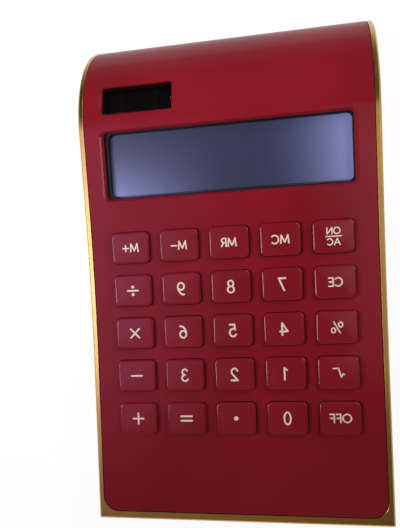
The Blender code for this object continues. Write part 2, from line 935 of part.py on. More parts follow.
def make_solar_window(material):
    """The smoked window: a block that fills the opening, and a flange that bears on the pad under the roll."""
    flange_top_depth = solar_seat_depth + seat_gap
    flange_bottom_depth = flange_top_depth + solar_flange_thickness
    block = rectangle(solar_width, solar_length, solar_corner_radius)
    flange = rectangle(
        solar_width + 2 * solar_flange, solar_length + 2 * solar_flange, solar_corner_radius + solar_flange
    )
    sections = [
        (-flange_bottom_depth, flange),
        (-flange_top_depth, flange),
        (-flange_top_depth, block),
        (-solar_sink, block),
    ]
    return as_part(loft("solar_window", sections, solar_frame()), "solar_window", material)


def solar_cell_top():
    return solar_seat_depth + solar_flange_thickness + 2 * seat_gap


def make_solar_cell(material):
    outline = rectangle(solar_width, solar_length)
    top = solar_cell_top()
    frame = solar_frame(top)
    return as_part(plate("cell", outline, -solar_cell_thickness, 0.0, frame), "solar_cell", material)


def make_base_plate(material):
    """The underside: a plate with screw wells, foot recesses and the walls of the battery bay."""
    grow = seam - seat_gap
    plate_block = plan_block("base_plate", grow, cover_rear + grow, foot_stand, base_top)
    base = as_part(plate_block, "base_plate", material)
    wells = [
        cylinder("well", well_radius, base_top - base_thickness / 2, well_top(), upright_frame(x, y, 0.0))
        for x, y in case_screw_places()
    ]
    add(base, joined("wells", wells))
    walls = rectangle(hatch_width + 2 * bay_wall, bay_width + 2 * bay_wall, bay_wall)
    frame = upright_frame(0.0, bay_middle, 0.0)
    add(base, plate("bay_walls", walls, foot_stand + base_thickness / 2, bay_roof + bay_wall, frame))
    hollow = rectangle(bay_length, bay_width)
    cut(base, plate("bay_hollow", hollow, -overrun, bay_roof, frame))
    hatch = rectangle(hatch_width, bay_width)
    cut(base, plate("hatchway", hatch, -overrun, foot_stand + door_thickness + seat_gap, frame))
    cut(base, joined("hook_slots", hook_slot_cutters()))
    cut(base, joined("counterbores", counterbore_cutters()))
    cut(base, joined("screw_ways", screw_way_cutters()))
    cut(base, joined("foot_recesses", foot_recess_cutters()))
    return base


def hook_slot_cutters():
    """Slots through the bay's front wall, high enough for the hooks to turn in as the door swings."""
    outline = rectangle(door_hook_width + 2 * door_fit, 2 * (bay_wall + door_fit))
    low = foot_stand + door_thickness - door_fit
    high = foot_stand + math.hypot(door_hook_length, door_thickness + door_hook_thickness) + door_fit
    edge = bay_middle - bay_width / 2
    return [
        plate("hook_slot", outline, low, high, upright_frame(side * door_hook_reach, edge, 0.0)) for side in (-1, 1)
    ]


def counterbore_cutters():
    seat = foot_stand + counterbore_depth
    return [
        cylinder("counterbore", counterbore_radius, foot_stand - overrun, seat, upright_frame(x, y, 0.0))
        for x, y in case_screw_places()
    ]


def screw_way_cutters():
    radius = screw_radius + screw_clearance
    return [
        cylinder("way", radius, foot_stand - overrun, well_top() + overrun, upright_frame(x, y, 0.0))
        for x, y in case_screw_places()
    ]


def foot_places():
    """(x, y) of the four feet."""
    front = front_rim + front_foot_offset
    rear = body_length - rear_foot_offset
    return [(side * foot_reach, y) for y in (front, rear) for side in (-1, 1)]


def foot_recess_cutters():
    return [
        cylinder(
            "recess", foot_radius + seat_gap, foot_stand - overrun, foot_stand + foot_recess, upright_frame(x, y, 0.0)
        )
        for x, y in foot_places()
    ]


def make_rubber_feet(material):
    for number, (x, y) in enumerate(foot_places(), 1):
        foot = cylinder("foot", foot_radius, 0.0, foot_thickness, upright_frame(x, y, 0.0))
        as_part(foot, f"rubber_foot_{number}", material)


def make_battery_door(material):
    """The hatch: it turns about its outer front edge, where two hooks hold it, and its rear edge has a snap tongue."""
    pivot = upright_frame(0.0, bay_middle - door_length / 2, foot_stand)
    outline = rectangle(door_width, door_length, middle=(0.0, door_length / 2))
    door = as_part(plate("door", outline, 0.0, door_thickness, pivot), "battery_door", material)
    low, high = door_thickness, door_thickness + door_hook_thickness
    hook = rectangle(door_hook_width, 2 * door_hook_length)
    for side in (-1, 1):
        add(door, plate("hook", hook, low, high, pivot @ upright_frame(side * door_hook_reach, 0.0, 0.0)))
    tongue_middle = door_length - tongue_setback - tongue_thickness / 2
    tongue = rectangle(tongue_width, tongue_thickness, middle=(0.0, tongue_middle))
    add(door, plate("tongue", tongue, door_thickness / 2, door_thickness + tongue_height, pivot))
    ridges = []
    for number in range(grip_ridge_count):
        y = door_length - grip_edge_distance - number * grip_ridge_pitch
        groove = rectangle(grip_ridge_length, grip_ridge_width, middle=(0.0, y))
        ridges.append(plate("groove", groove, -overrun, grip_ridge_depth, pivot))
    return cut(door, joined("grip_grooves", ridges))


def make_battery_cell(material):
    """A small round cell lying across the bay, with its raised end at +X."""
    length = cell_length + cell_nub_length
    chamfer = cell_nub_length / 2
    profile = [
        (0.0, length, 0.0),
        (cell_nub_radius, length, 0.0),
        (cell_nub_radius, cell_length, 0.0),
        (cell_radius - chamfer, cell_length, 0.0),
        (cell_radius, cell_length - chamfer, 0.0),
        (cell_radius, chamfer, 0.0),
        (cell_radius - chamfer, 0.0, 0.0),
        (0.0, 0.0, 0.0),
    ]
    obj = curve_object("cell", profile, False, False)
    turn = obj.modifiers.new("Turn", "SCREW")
    turn.axis = "Y"
    turn.steps = round_steps
    turn.render_steps = round_steps
    turn.use_merge_vertices = True
    turn.merge_threshold = weld
    solid = as_mesh(obj, Matrix.Identity(4), False)
    start = -bay_length / 2 + contact_space
    solid.matrix_world = upright_frame(start, bay_middle, cell_height) @ Matrix.Rotation(-math.pi / 2, 4, "Z")
    return as_part(solid, "battery_cell", material)


def make_battery_contact(material):
    """The flat contact plate at the cell's raised end."""
    outline = rectangle(contact_width, contact_height)
    x = bay_length / 2 - seat_gap - contact_thickness
    frame = upright_frame(0.0, bay_middle, cell_height) @ side_frame(0.0)
    contact = plate("contact", outline, x, x + contact_thickness, frame)
    return as_part(contact, "battery_contact", material)


def make_battery_spring(material):
    """The tapering coil that presses on the flat end of the cell."""
    wound = contact_space - 2 * seat_gap - 2 * spring_wire_radius
    count = spring_turns * spring_steps
    points = []
    for step in range(count + 1):
        share = step / count
        angle = 2 * math.pi * step / spring_steps
        radius = spring_base_radius + (spring_tip_radius - spring_base_radius) * share
        points.append((share * wound, radius * math.cos(angle), radius * math.sin(angle)))
    x = -bay_length / 2 + seat_gap + spring_wire_radius
    spring = tube("battery_spring", points, spring_wire_radius, upright_frame(x, bay_middle, cell_height))
    return as_part(spring, "battery_spring", material)


def make_chip_blob(material):
    """The drop of black resin over the bare chip, under the board."""
    frame = board_frame(chip_station, hand * chip_reach, board_depth + board_thickness + seat_gap)
    blob = cylinder("blob", chip_radius * chip_crown_share, -chip_height, 0.0, frame, round_steps, chip_radius)
    return as_part(blob, "chip_blob", material)


def make_capacitor(material):
    frame = board_frame(capacitor_station, -hand * capacitor_reach, board_depth + board_thickness + seat_gap)
    can = cylinder("can", capacitor_radius, -capacitor_length, 0.0, frame)
    return as_part(can, "capacitor", material)


def make_keys(material):
    for name, x, station in key_places():
        make_key(name, x, station, material)


def main():
    clear_scene()
    new_collection("desktop_calculator")
    new_collection("cutters", helper=True)
    centre = bpy.data.objects.new("calculator_base_centre", None)
    bpy.context.scene.collection.objects.link(centre)
    centre.location = (0.0, -body_length / 2, 0.0)

    lacquer = new_material("red_lacquer", (0.26, 0.012, 0.022), 0.12)
    gilt = new_material("gilt_plating", (0.62, 0.38, 0.11), 0.28, 1.0)
    black = new_material("black_plastic", (0.012, 0.012, 0.014), 0.45)
    clear = new_material("clear_acrylic", (0.80, 0.82, 0.86), 0.05, 0.0, 0.35)
    smoked = new_material("smoked_acrylic", (0.010, 0.008, 0.008), 0.08)
    glass = new_material("display_glass", (0.12, 0.13, 0.20), 0.10)
    silver = new_material("reflector_foil", (0.60, 0.60, 0.62), 0.35, 0.8)
    laminate = new_material("board_laminate", (0.05, 0.16, 0.06), 0.50)
    silicone = new_material("grey_silicone", (0.45, 0.45, 0.44), 0.70)
    rubber = new_material("black_rubber", (0.02, 0.02, 0.02), 0.85)
    steel = new_material("plated_steel", (0.62, 0.62, 0.64), 0.30, 1.0)
    sleeve = new_material("cell_sleeve", (0.30, 0.32, 0.34), 0.35)

    make_trim_frame(gilt)
    make_front_cover(lacquer)
    make_keys(lacquer)
    make_display_bezel(black)
    make_display_lens(clear)
    make_lcd_glass(glass)
    make_lcd_reflector(silver)
    make_contact_strip(silicone)
    make_solar_window(smoked)
    make_solar_cell(smoked)
    make_circuit_board(laminate)
    make_key_mat(silicone)
    make_chip_blob(black)
    make_capacitor(black)
    make_board_screws(steel)
    make_base_plate(black)
    make_battery_door(black)
    make_battery_cell(sleeve)
    make_battery_contact(steel)
    make_battery_spring(steel)
    make_case_screws(steel)
    make_rubber_feet(rubber)


main()
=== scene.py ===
"""Dresses the packed desktop calculator: lacquered cover, gilt frame, sprung keys with printed legends, display, solar
window, underside fittings, and a plain studio.

Every piece is laid out from the cover's side profile, one path from its front edge: a flat run under the keys, a slow
hollow rise, a flat run round the display and a roll down the back. A place is a station along that path, a distance
across it and a depth under it.
"""

import json
import math

import bmesh
import bpy
import numpy as np
from mathutils import Matrix, Vector


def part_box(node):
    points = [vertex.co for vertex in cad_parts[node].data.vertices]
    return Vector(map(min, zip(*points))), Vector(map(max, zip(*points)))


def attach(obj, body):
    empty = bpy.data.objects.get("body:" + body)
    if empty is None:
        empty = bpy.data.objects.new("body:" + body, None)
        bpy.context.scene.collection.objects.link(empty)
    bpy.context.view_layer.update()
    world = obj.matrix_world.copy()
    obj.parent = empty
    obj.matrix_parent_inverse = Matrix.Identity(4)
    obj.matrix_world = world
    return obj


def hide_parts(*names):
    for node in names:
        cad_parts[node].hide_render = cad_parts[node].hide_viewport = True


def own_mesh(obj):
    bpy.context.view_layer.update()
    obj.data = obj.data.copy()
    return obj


bl_info = {
    "name": "Desktop Calculator Dresser",
    "version": (1, 0, 0),
    "blender": (4, 5, 0),
    "location": "View3D > Sidebar > Calculator",
    "description": "Builds the visible pieces, finishes and studio of a desktop calculator round its packed frame",
    "category": "Object",
}

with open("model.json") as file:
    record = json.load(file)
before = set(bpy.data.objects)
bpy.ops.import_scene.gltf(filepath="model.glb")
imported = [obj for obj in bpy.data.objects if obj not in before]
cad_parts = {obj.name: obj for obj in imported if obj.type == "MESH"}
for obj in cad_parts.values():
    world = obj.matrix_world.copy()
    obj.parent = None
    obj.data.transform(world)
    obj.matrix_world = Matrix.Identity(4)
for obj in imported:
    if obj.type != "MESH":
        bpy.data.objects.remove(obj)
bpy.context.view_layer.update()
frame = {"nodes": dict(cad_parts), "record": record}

KEY_ROWS = (
    (("key_m_plus", "M+"), ("key_m_minus", "M-"), ("key_mr", "MR"), ("key_mc", "MC"), ("key_on_ac", "ON/AC")),
    (("key_divide", ":"), ("key_9", "9"), ("key_8", "8"), ("key_7", "7"), ("key_ce", "CE")),
    (("key_multiply", "x"), ("key_6", "6"), ("key_5", "5"), ("key_4", "4"), ("key_percent", "%")),
    (("key_subtract", "_"), ("key_3", "3"), ("key_2", "2"), ("key_1", "1"), ("key_root", "r")),
    (("key_add", "p"), ("key_equals", "="), ("key_point", "."), ("key_0", "0"), ("key_off", "OFF")),
)

NEAR_FACE = 0.00002  # A point closer than this to the side profile counts as lying on it
CHORD_SAG = 0.00004  # How far the cover's corner arc may fall inside its true radius
SEAT_GAP = 0.0003  # Gap between hidden pieces that rest on one another
OVERRUN = 0.002  # How far a cutter runs past what it cuts
AXIS = 0.00005  # Radius at which a turned profile closes on its axis


def length(name, description, default):
    """A property that holds a length in metres."""
    return bpy.props.FloatProperty(name=name, description=description, default=default, unit="LENGTH", precision=5)


def angle(name, description, degrees):
    """A property that holds an angle, given here in degrees."""
    return bpy.props.FloatProperty(name=name, description=description, default=math.radians(degrees), unit="ROTATION")


def colour(name, description, default):
    """A property that holds a linear colour."""
    return bpy.props.FloatVectorProperty(
        name=name, description=description, default=default, subtype="COLOR", size=3, min=0.0, max=1.0
    )


def share(name, description, default):
    """A property that holds a share from 0 to 1."""
    return bpy.props.FloatProperty(name=name, description=description, default=default, subtype="FACTOR", min=0, max=1)


def amount(name, description, default, unit="NONE"):
    """A property that holds a number, in a unit where it has one."""
    return bpy.props.FloatProperty(name=name, description=description, default=default, unit=unit)


def vector(name, description, default):
    """A property that holds a place or a direction."""
    return bpy.props.FloatVectorProperty(name=name, description=description, default=default)


class CalculatorBody(bpy.types.PropertyGroup):
    """Sizes of the cover, its path and the frame round it."""

    body_width: length("Body width", "Width over the gilt frame", 0.1060)
    front_height: length("Front height", "Height of the face at the cover's front edge", 0.0110)
    foot_stand: length("Foot stand", "Height of the underside over the desk", 0.0010)
    tilt: angle("Keyboard tilt", "Slope of the flat run under the keys", 6.0)
    keyboard_run: length("Keyboard run", "Length of the flat run under the keys", 0.0527)
    rise_run: length("Rise run", "Length of the hollow rise", 0.0599)
    rise_angle: angle("Rise angle", "How much steeper the face gets over the rise", 6.25)
    display_run: length("Display run", "Length of the flat run round the display", 0.0269)
    roll_radius: length("Roll radius", "Radius of the roll down the back", 0.0359)
    side_rim: length("Side rim", "Width of the frame's rim along the sides", 0.0021)
    front_rim: length("Front rim", "Width of the frame's rim across the front", 0.0029)
    rear_rim: length("Rear rim", "Thickness of the frame's lip across the rear", 0.0029)
    rear_lip: length("Rear lip", "Height of the frame's lip across the rear", 0.0060)
    rim_chamfer: length("Rim chamfer", "Width of the chamfer round the rim", 0.0006)
    rim_softening: length("Rim softening", "Radius of the rim's small edges", 0.00018)
    seam: length("Seam", "Gap between the cover and the frame", 0.00018)
    flange_top: length("Flange top", "Height of the frame's inner flange", 0.0043)
    corner_radius: length("Cover corner radius", "Radius of the cover's front corners from above", 0.0055)
    outer_radius: length("Frame corner radius", "Radius of the frame's front corners from above", 0.0006)
    edge_radius: length("Cover edge radius", "Rounding of the cover's edge along the frame", 0.0003)
    wall: length("Cover wall", "Thickness of the cover", 0.0018)


class CalculatorKeys(bpy.types.PropertyGroup):
    """Sizes of the keys and their legends."""

    column_pitch: length("Column pitch", "Distance between the columns of keys", 0.0180)
    row_pitch: length("Row pitch", "Distance between the rows of keys", 0.0156)
    nearest_row: length("Nearest row", "Station of the row nearest the front", 0.0344)
    width: length("Key width", "Width of a key", 0.0140)
    length: length("Key length", "Length of a key along the face", 0.01135)
    height: length("Key height", "How far a key stands over the face", 0.0014)
    corner_radius: length("Key corner radius", "Radius of a key's corners", 0.0018)
    edge_radius: length("Key edge radius", "Rounding of a key's top edge", 0.00038)
    edge_facet: length("Key edge facet", "Width of the nearly flat band round a key's top", 0.00036)
    crown: length("Key crown", "How much the top of a key is domed", 0.00007)
    gap: length("Key gap", "Gap between a key and its hole", 0.00016)
    lip_radius: length("Hole lip radius", "Rounding of the edge of a key's hole", 0.00014)
    digit_height: length("Digit height", "Height of a digit", 0.0042)
    letter_height: length("Letter height", "Height of a letter", 0.0028)
    small_height: length("Small letter height", "Height of the stacked letters", 0.0021)
    print_relief: length("Print relief", "How far the printed legends stand over a key", 0.00003)
    mirrored: bpy.props.BoolProperty(
        name="Mirrored hand", description="Keys and legends run from right to left", default=True
    )
    mat_depth: length("Mat depth", "Depth of the key mat's underside below the flat run", 0.0068)
    mat_thickness: length("Mat thickness", "Thickness of the key mat's sheet", 0.0006)
    mat_border: length("Mat border", "Reach of the key mat past the middles of the outer keys", 0.0080)
    dome_height: length("Dome height", "Height of a key's dome over the sheet", 0.0017)
    dome_foot: length("Dome foot", "Radius of a dome at its foot", 0.0042)
    dome_top: length("Dome top", "Radius of a dome at its top", 0.0023)


class CalculatorWindows(bpy.types.PropertyGroup):
    """Sizes of the display window and the solar window."""

    window_station: length("Window station", "Station of the display window's middle", 0.1266)
    window_width: length("Window width", "Width of the display window inside its bevel's rim", 0.0906)
    window_length: length("Window length", "Length of the display window inside its bevel's rim", 0.0254)
    window_bevel: length("Window bevel", "Width of the display window's bevel at its ends", 0.00125)
    bevel_squeeze: share("Bevel squeeze", "Width of the bevel along the face as a share of that at its ends", 0.68)
    window_corner: length("Window corner radius", "Radius of the display window's corners", 0.0016)
    glass_width: length("Glass width", "Width of the visible display", 0.0861)
    glass_length: length("Glass length", "Length of the visible display", 0.0227)
    glass_shift: length("Glass shift", "How far the display stands off the middle", 0.0005)
    glass_corner: length("Glass corner radius", "Radius of the display's corners", 0.0020)
    solar_station: length("Solar station", "Station of the solar window's middle", 0.1502)
    solar_reach: length("Solar reach", "How far the solar window stands off the middle", 0.0309)
    solar_width: length("Solar width", "Width of the solar window", 0.0253)
    solar_length: length("Solar length", "Length of the solar window", 0.0100)
    solar_bevel: length("Solar bevel", "Width of the solar opening's bevel", 0.0006)
    solar_sink: length("Solar sink", "How far the solar window is sunk", 0.0007)
    solar_seat: length("Solar seat", "Reach of the pad under the solar opening past the window", 0.0026)
    solar_pad: length("Solar pad", "Depth of the pad under the solar opening", 0.0032)


class CalculatorFinishes(bpy.types.PropertyGroup):
    """Colours and gloss of the finishes."""

    lacquer: colour("Lacquer", "Deep red of the cover and the keys", (0.262, 0.0115, 0.0205))
    lacquer_haze: share("Lacquer haze", "Roughness of the lacquer's clear coat", 0.06)
    coat_weight: share("Coat weight", "Share of the cover that its clear coat covers", 0.48)
    key_haze: share("Key haze", "Roughness of the keys' clear coat", 0.045)
    gilt: colour("Gilt", "Colour of the plated frame", (0.60, 0.385, 0.125))
    gilt_haze: share("Gilt haze", "Roughness of the plating", 0.25)
    legend: colour("Legend", "Pale gold of the printed legends", (1.0, 0.84, 0.68))
    display_dark: colour("Display dark", "Darker tint of the display", (0.035, 0.044, 0.090))
    # Painted reflection: this paler tint stands in for light reflected off the display, not the display's own colour
    display_painted_reflection: colour("Display painted reflection", "Painted reflection on the display", (0.365, 0.410, 0.750))


class CalculatorStudio(bpy.types.PropertyGroup):
    """Camera, light and floor."""

    focal_length: amount("Focal length", "Focal length of the camera", 40.750, "CAMERA")
    camera_place: vector(
        "Camera place", "Camera in millimetres across, along and over the face", (30.065, 76.560, 210.941)
    )
    camera_right: vector(
        "Camera right", "The view's right, in the face's axes", (0.98021215, -0.0394503, -0.19397891)
    )
    camera_up: vector("Camera up", "The view's up, in the face's axes", (0.03854071, 0.9992212, -0.00846229))
    shift_up: amount("Shift", "How far the frame is shifted up", 0.0704)
    floor_colour: colour("Floor colour", "Pale floor", (0.90, 0.90, 0.90))
    left_power: amount("Left light", "Power of the left light", 0.31, "POWER")
    right_power: amount("Right light", "Power of the right light", 0.08, "POWER")
    corner_power: amount("Corner light", "Power of the rear right light", 0.045, "POWER")
    sky_strength: amount("Sky strength", "Strength of the surrounding light", 1.0)
    haze: colour("Haze", "Soft light reflected from overhead on the left", (0.60, 0.52, 1.0))
    sheen: colour("Sheen", "Soft light reflected from overhead on the right", (1.0, 0.86, 0.84))


GROUPS = {
    "calculator_body": CalculatorBody,
    "calculator_keys": CalculatorKeys,
    "calculator_windows": CalculatorWindows,
    "calculator_finishes": CalculatorFinishes,
    "calculator_studio": CalculatorStudio,
}


def settings(name):
    return getattr(bpy.context.scene, "calculator_" + name)


# Places along the face


def face(stations, depth=0.0):
    """(y, z, slope) of the side profile at stations along it, sunk by a depth along its normal.

    A flat stretch adds step times (cos, sin) of the slope. A curved one of radius R adds R (sin b - sin a) along and
    R (cos a - cos b) up while the slope goes from a to b. Past the roll the profile drops straight down.
    """
    body = settings("body")
    left = np.asarray(stations, float) + 0.0
    y, z = np.zeros_like(left), np.full_like(left, body.front_height)
    y += body.front_rim - rear_end() / 2
    slope = np.full_like(left, body.tilt)
    roll_turn = body.tilt + body.rise_angle + math.pi / 2
    runs = (
        (body.keyboard_run, 0.0),
        (body.rise_run, body.rise_angle),
        (body.display_run, 0.0),
        (body.roll_radius * roll_turn, -roll_turn),
    )
    for number, (run, turn) in enumerate(runs):
        step = np.minimum(left, run) if number == 0 else np.clip(left, 0.0, run)
        if turn:
            radius = run / turn
            end = slope + step / radius
            y += radius * (np.sin(end) - np.sin(slope))
            z -= radius * (np.cos(end) - np.cos(slope))
            slope = end
        else:
            y += step * np.cos(slope)
            z += step * np.sin(slope)
        left = left - step
    z -= left
    return y + depth * np.sin(slope), z - depth * np.cos(slope), slope


def rear_end():
    """The body's whole length, from the front of the frame to where the roll meets the underside."""
    body = settings("body")
    steep = body.tilt + body.rise_angle
    hollow = body.rise_run / body.rise_angle
    middle_y = (
        body.front_rim
        + body.keyboard_run * math.cos(body.tilt)
        + hollow * (math.sin(steep) - math.sin(body.tilt))
        + body.display_run * math.cos(steep)
        + body.roll_radius * math.sin(steep)
    )
    middle_z = (
        body.front_height
        + body.keyboard_run * math.sin(body.tilt)
        + hollow * (math.cos(body.tilt) - math.cos(steep))
        + body.display_run * math.sin(steep)
        - body.roll_radius * math.cos(steep)
    )
    return middle_y + math.sqrt(body.roll_radius**2 - (body.foot_stand - middle_z) ** 2)


def roll_span():
    """First and last station of the roll."""
    body = settings("body")
    start = body.keyboard_run + body.rise_run + body.display_run
    return start, start + body.roll_radius * (body.tilt + body.rise_angle + math.pi / 2)


def station_at_height(level, depth=0.0):
    """The station on the roll, or on the drop below it, where the sunk profile has a given height."""
    start, end = roll_span()
    stations = np.linspace(start, end + 0.05, 6000)
    _, z, _ = face(stations, depth)
    falling = stations[np.argmax(z):]
    return float(np.interp(-level, -z[np.argmax(z):], falling))


def face_frame(station, across=0.0, depth=0.0):
    """Matrix with its origin on the face, Y up along the face and Z out of it."""
    y, z, slope = (float(v) for v in face(station, depth))
    return Matrix.Translation((across, y, z)) @ Matrix.Rotation(slope, 4, "X")


def curve_stations(first, last, pitch=0.0011):
    """Stations from first to last: the ends of the flat runs alone, and close ones round the hollow and the roll."""
    body = settings("body")
    rise_end = body.keyboard_run + body.rise_run
    rise = np.linspace(body.keyboard_run, rise_end, int(body.rise_run / pitch))
    roll = np.linspace(*roll_span(), int((roll_span()[1] - roll_span()[0]) / pitch))
    stations = np.concatenate((rise, roll))
    return np.concatenate(([first], stations[(stations > first + pitch / 2) & (stations < last - pitch / 2)], [last]))


def hand():
    return 1.0 if settings("keys").mirrored else -1.0


# Meshes


def outline(width, along, radius, steps=8, middle=(0.0, 0.0)):
    """Points of a rectangle with round corners, anticlockwise: each corner is a quarter circle about its own centre."""
    radius = max(radius, 1e-6)
    turns = np.linspace(0.0, math.pi / 2, steps + 1)
    corners = []
    for quarter, (sx, sy) in enumerate(((1, -1), (1, 1), (-1, 1), (-1, -1))):
        a = turns + math.pi / 2 * (quarter - 1)
        x = middle[0] + sx * (width / 2 - radius) + radius * np.cos(a)
        y = middle[1] + sy * (along / 2 - radius) + radius * np.sin(a)
        corners.append(np.stack((x, y), axis=1))
    return np.concatenate(corners)


def grid_faces(rows, columns, round_rows):
    """Quads of a grid of points, closed across its columns and, where asked, across its rows."""
    row = np.arange(rows if round_rows else rows - 1)[:, None]
    column = np.arange(columns)[None, :]
    next_row, next_column = (row + 1) % rows, (column + 1) % columns
    quads = np.stack(
        (
            row * columns + column,
            row * columns + next_column,
            next_row * columns + next_column,
            next_row * columns + column,
        ),
        axis=-1,
    )
    return quads.reshape(-1, 4)


def new_object(name, points, faces):
    """An object whose mesh takes its points and faces as whole arrays."""
    mesh = bpy.data.meshes.new(name)
    mesh.from_pydata(np.asarray(points, float).reshape(-1, 3), [], faces)
    mesh.update()
    obj = bpy.data.objects.new(name, mesh)
    bpy.context.scene.collection.objects.link(obj)
    return obj


def skin(name, rings, round_rows=False):
    """A closed skin through a stack of rings, shaped (rings, points, 3), with flat ends unless it closes on itself."""
    rings = np.asarray(rings, float)
    rows, columns, _ = rings.shape
    faces = grid_faces(rows, columns, round_rows).tolist()
    if not round_rows:
        faces.append(list(range(columns))[::-1])
        faces.append(list(range((rows - 1) * columns, rows * columns)))
    return new_object(name, rings, faces)


def level(points, height):
    """A flat outline's points, all at one height."""
    return np.column_stack((points, np.full(len(points), height)))


def placed(obj, matrix):
    obj.data.transform(matrix)
    return obj


def prism(name, points, low, high, matrix):
    """A flat outline given a thickness along the matrix's own Z."""
    return placed(skin(name, np.stack([level(points, z) for z in (low, high)])), matrix)


def ring(width, along, radius, height, steps, shift=0.0):
    """A rectangle with round corners at one height."""
    return level(outline(width, along, radius, steps, (shift, 0.0)), height)


def stack(name, rings, matrix, round_rows=False):
    """A closed skin through rings, placed by a matrix."""
    return placed(skin(name, np.stack(rings), round_rows), matrix)


def lathe(name, profile, matrix, steps=48):
    """A profile of (radius, height) points turned about the matrix's own Z: x = r cos a, y = r sin a."""
    profile = np.asarray(profile, float)
    a = np.arange(steps) * 2 * math.pi / steps
    x = profile[:, :1] * np.cos(a)
    y = profile[:, :1] * np.sin(a)
    z = np.repeat(profile[:, 1:], steps, axis=1)
    return placed(skin(name, np.stack((x, y, z), axis=-1)), matrix)


def values(items, field, width=1, kind=float):
    """One field of every item of a mesh, as rows of that width."""
    found = np.empty(len(items) * width, kind)
    items.foreach_get(field, found)
    return found.reshape(-1, width) if width > 1 else found


def merged(name, pieces):
    """One object that holds the meshes of several."""
    points, faces, start = [], [], 0
    for piece in pieces:
        points.append(values(piece.data.vertices, "co", 3))
        faces.extend([[start + v for v in polygon.vertices] for polygon in piece.data.polygons])
        start += len(piece.data.vertices)
        bpy.data.objects.remove(piece, do_unlink=True)
    return new_object(name, np.concatenate(points), faces)


def outward(obj):
    """Welds doubled points and turns every face of a closed mesh outwards."""
    shape = bmesh.new()
    shape.from_mesh(obj.data)
    bmesh.ops.remove_doubles(shape, verts=shape.verts, dist=5e-7)
    bmesh.ops.dissolve_degenerate(shape, edges=shape.edges, dist=5e-7)
    bmesh.ops.recalc_face_normals(shape, faces=shape.faces)
    shape.to_mesh(obj.data)
    shape.free()
    return obj


def smooth(obj, sharp_degrees=35.0):
    obj.data.shade_smooth()
    obj.data.set_sharp_from_angle(angle=math.radians(sharp_degrees))
    return obj


def carve(obj, tools):
    """Applies the modifiers and then exact Booleans in order, each an (operation, tool), and removes the tools."""
    for operation, tool in tools:
        modifier = obj.modifiers.new(operation.title(), "BOOLEAN")
        modifier.operation = operation
        modifier.solver = "EXACT"
        modifier.object = outward(tool)
    bpy.context.view_layer.update()
    graph = bpy.context.evaluated_depsgraph_get()
    mesh = bpy.data.meshes.new_from_object(obj.evaluated_get(graph))
    old = obj.data
    obj.modifiers.clear()
    obj.data = mesh
    bpy.data.meshes.remove(old)
    for _, tool in tools:
        bpy.data.objects.remove(tool, do_unlink=True)
    return obj


def give(obj, finish_name, body, slot, *nodes):
    """Gives a finished piece its material and the body it rides on, and hides the nodes it stands for; its slot is not
    used.
    """
    obj.data.materials.clear()
    obj.data.materials.append(finish(finish_name))
    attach(obj, body)
    if nodes:
        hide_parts(*nodes)


# Finishes


def plug(tree, node, inputs):
    """Gives a node's inputs their values, or links them to other nodes' sockets."""
    for name, value in inputs.items():
        if isinstance(value, bpy.types.NodeSocket):
            tree.links.new(value, node.inputs[name])
        else:
            node.inputs[name].default_value = value


def add(tree, kind, inputs, **fields):
    """A new shader node with its fields and its inputs."""
    node = tree.nodes.new("ShaderNode" + kind)
    for field, value in fields.items():
        setattr(node, field, value)
    plug(tree, node, inputs)
    return node


def new_finish(name, base, roughness, metallic=0.0):
    """A material's node tree, its Principled shader and its Object coordinates."""
    material = bpy.data.materials.new(name)
    material.use_nodes = True
    tree = material.node_tree
    shader = tree.nodes["Principled BSDF"]
    plug(tree, shader, {"Base Color": (*base, 1.0), "Roughness": roughness, "Metallic": metallic})
    return tree, shader, add(tree, "TexCoord", {}).outputs["Object"]


def noise(tree, place, scale, detail=3.0, rough=0.55, stretch=None):
    """A noise pattern on Object coordinates, which a Mapping node may stretch along an axis."""
    if stretch:
        place = add(tree, "Mapping", {"Vector": place, "Scale": stretch}).outputs["Vector"]
    inputs = {"Vector": place, "Scale": scale, "Detail": detail, "Roughness": rough}
    return add(tree, "TexNoise", inputs).outputs["Fac"]


def ramp(tree, value, *stops):
    """A colour ramp from (position, colour) stops."""
    node = add(tree, "ValToRGB", {"Fac": value})
    elements = node.color_ramp.elements
    while len(elements) < len(stops):
        elements.new(0.5)
    for element, (position, tint) in zip(elements, stops):
        element.position = position
        element.color = (*tint, 1.0)
    return node.outputs["Color"]


def grey(value):
    return (value, value, value)


def times(tint, *factors):
    """A colour times one factor, or times one for each channel."""
    return tuple(min(1.0, c * f) for c, f in zip(tint, factors if len(factors) > 1 else factors * 3))


def mapped(tree, value, low=0.0, high=1.0, start=0.0, end=1.0):
    """Maps a pattern from start and end to low and high, and no further."""
    inputs = {"Value": value, "From Min": start, "From Max": end, "To Min": low, "To Max": high}
    return add(tree, "MapRange", inputs).outputs["Result"]


def combined(tree, operation, first, second):
    """A Math node on a pattern and either another pattern or a number."""
    return add(tree, "Math", {0: first, 1: second}, operation=operation).outputs["Value"]


def added(tree, first, second):
    """The sum of two colours."""
    fields = {"data_type": "RGBA", "blend_type": "ADD"}
    return add(tree, "Mix", {"Factor": 1.0, "A": first, "B": second}, **fields).outputs["Result"]


def bump(tree, shader, height, distance, strength):
    """Adds relief of a given depth in metres to a shader."""
    node = add(tree, "Bump", {"Height": height, "Distance": distance, "Strength": strength})
    plug(tree, shader, {"Normal": node.outputs["Normal"]})


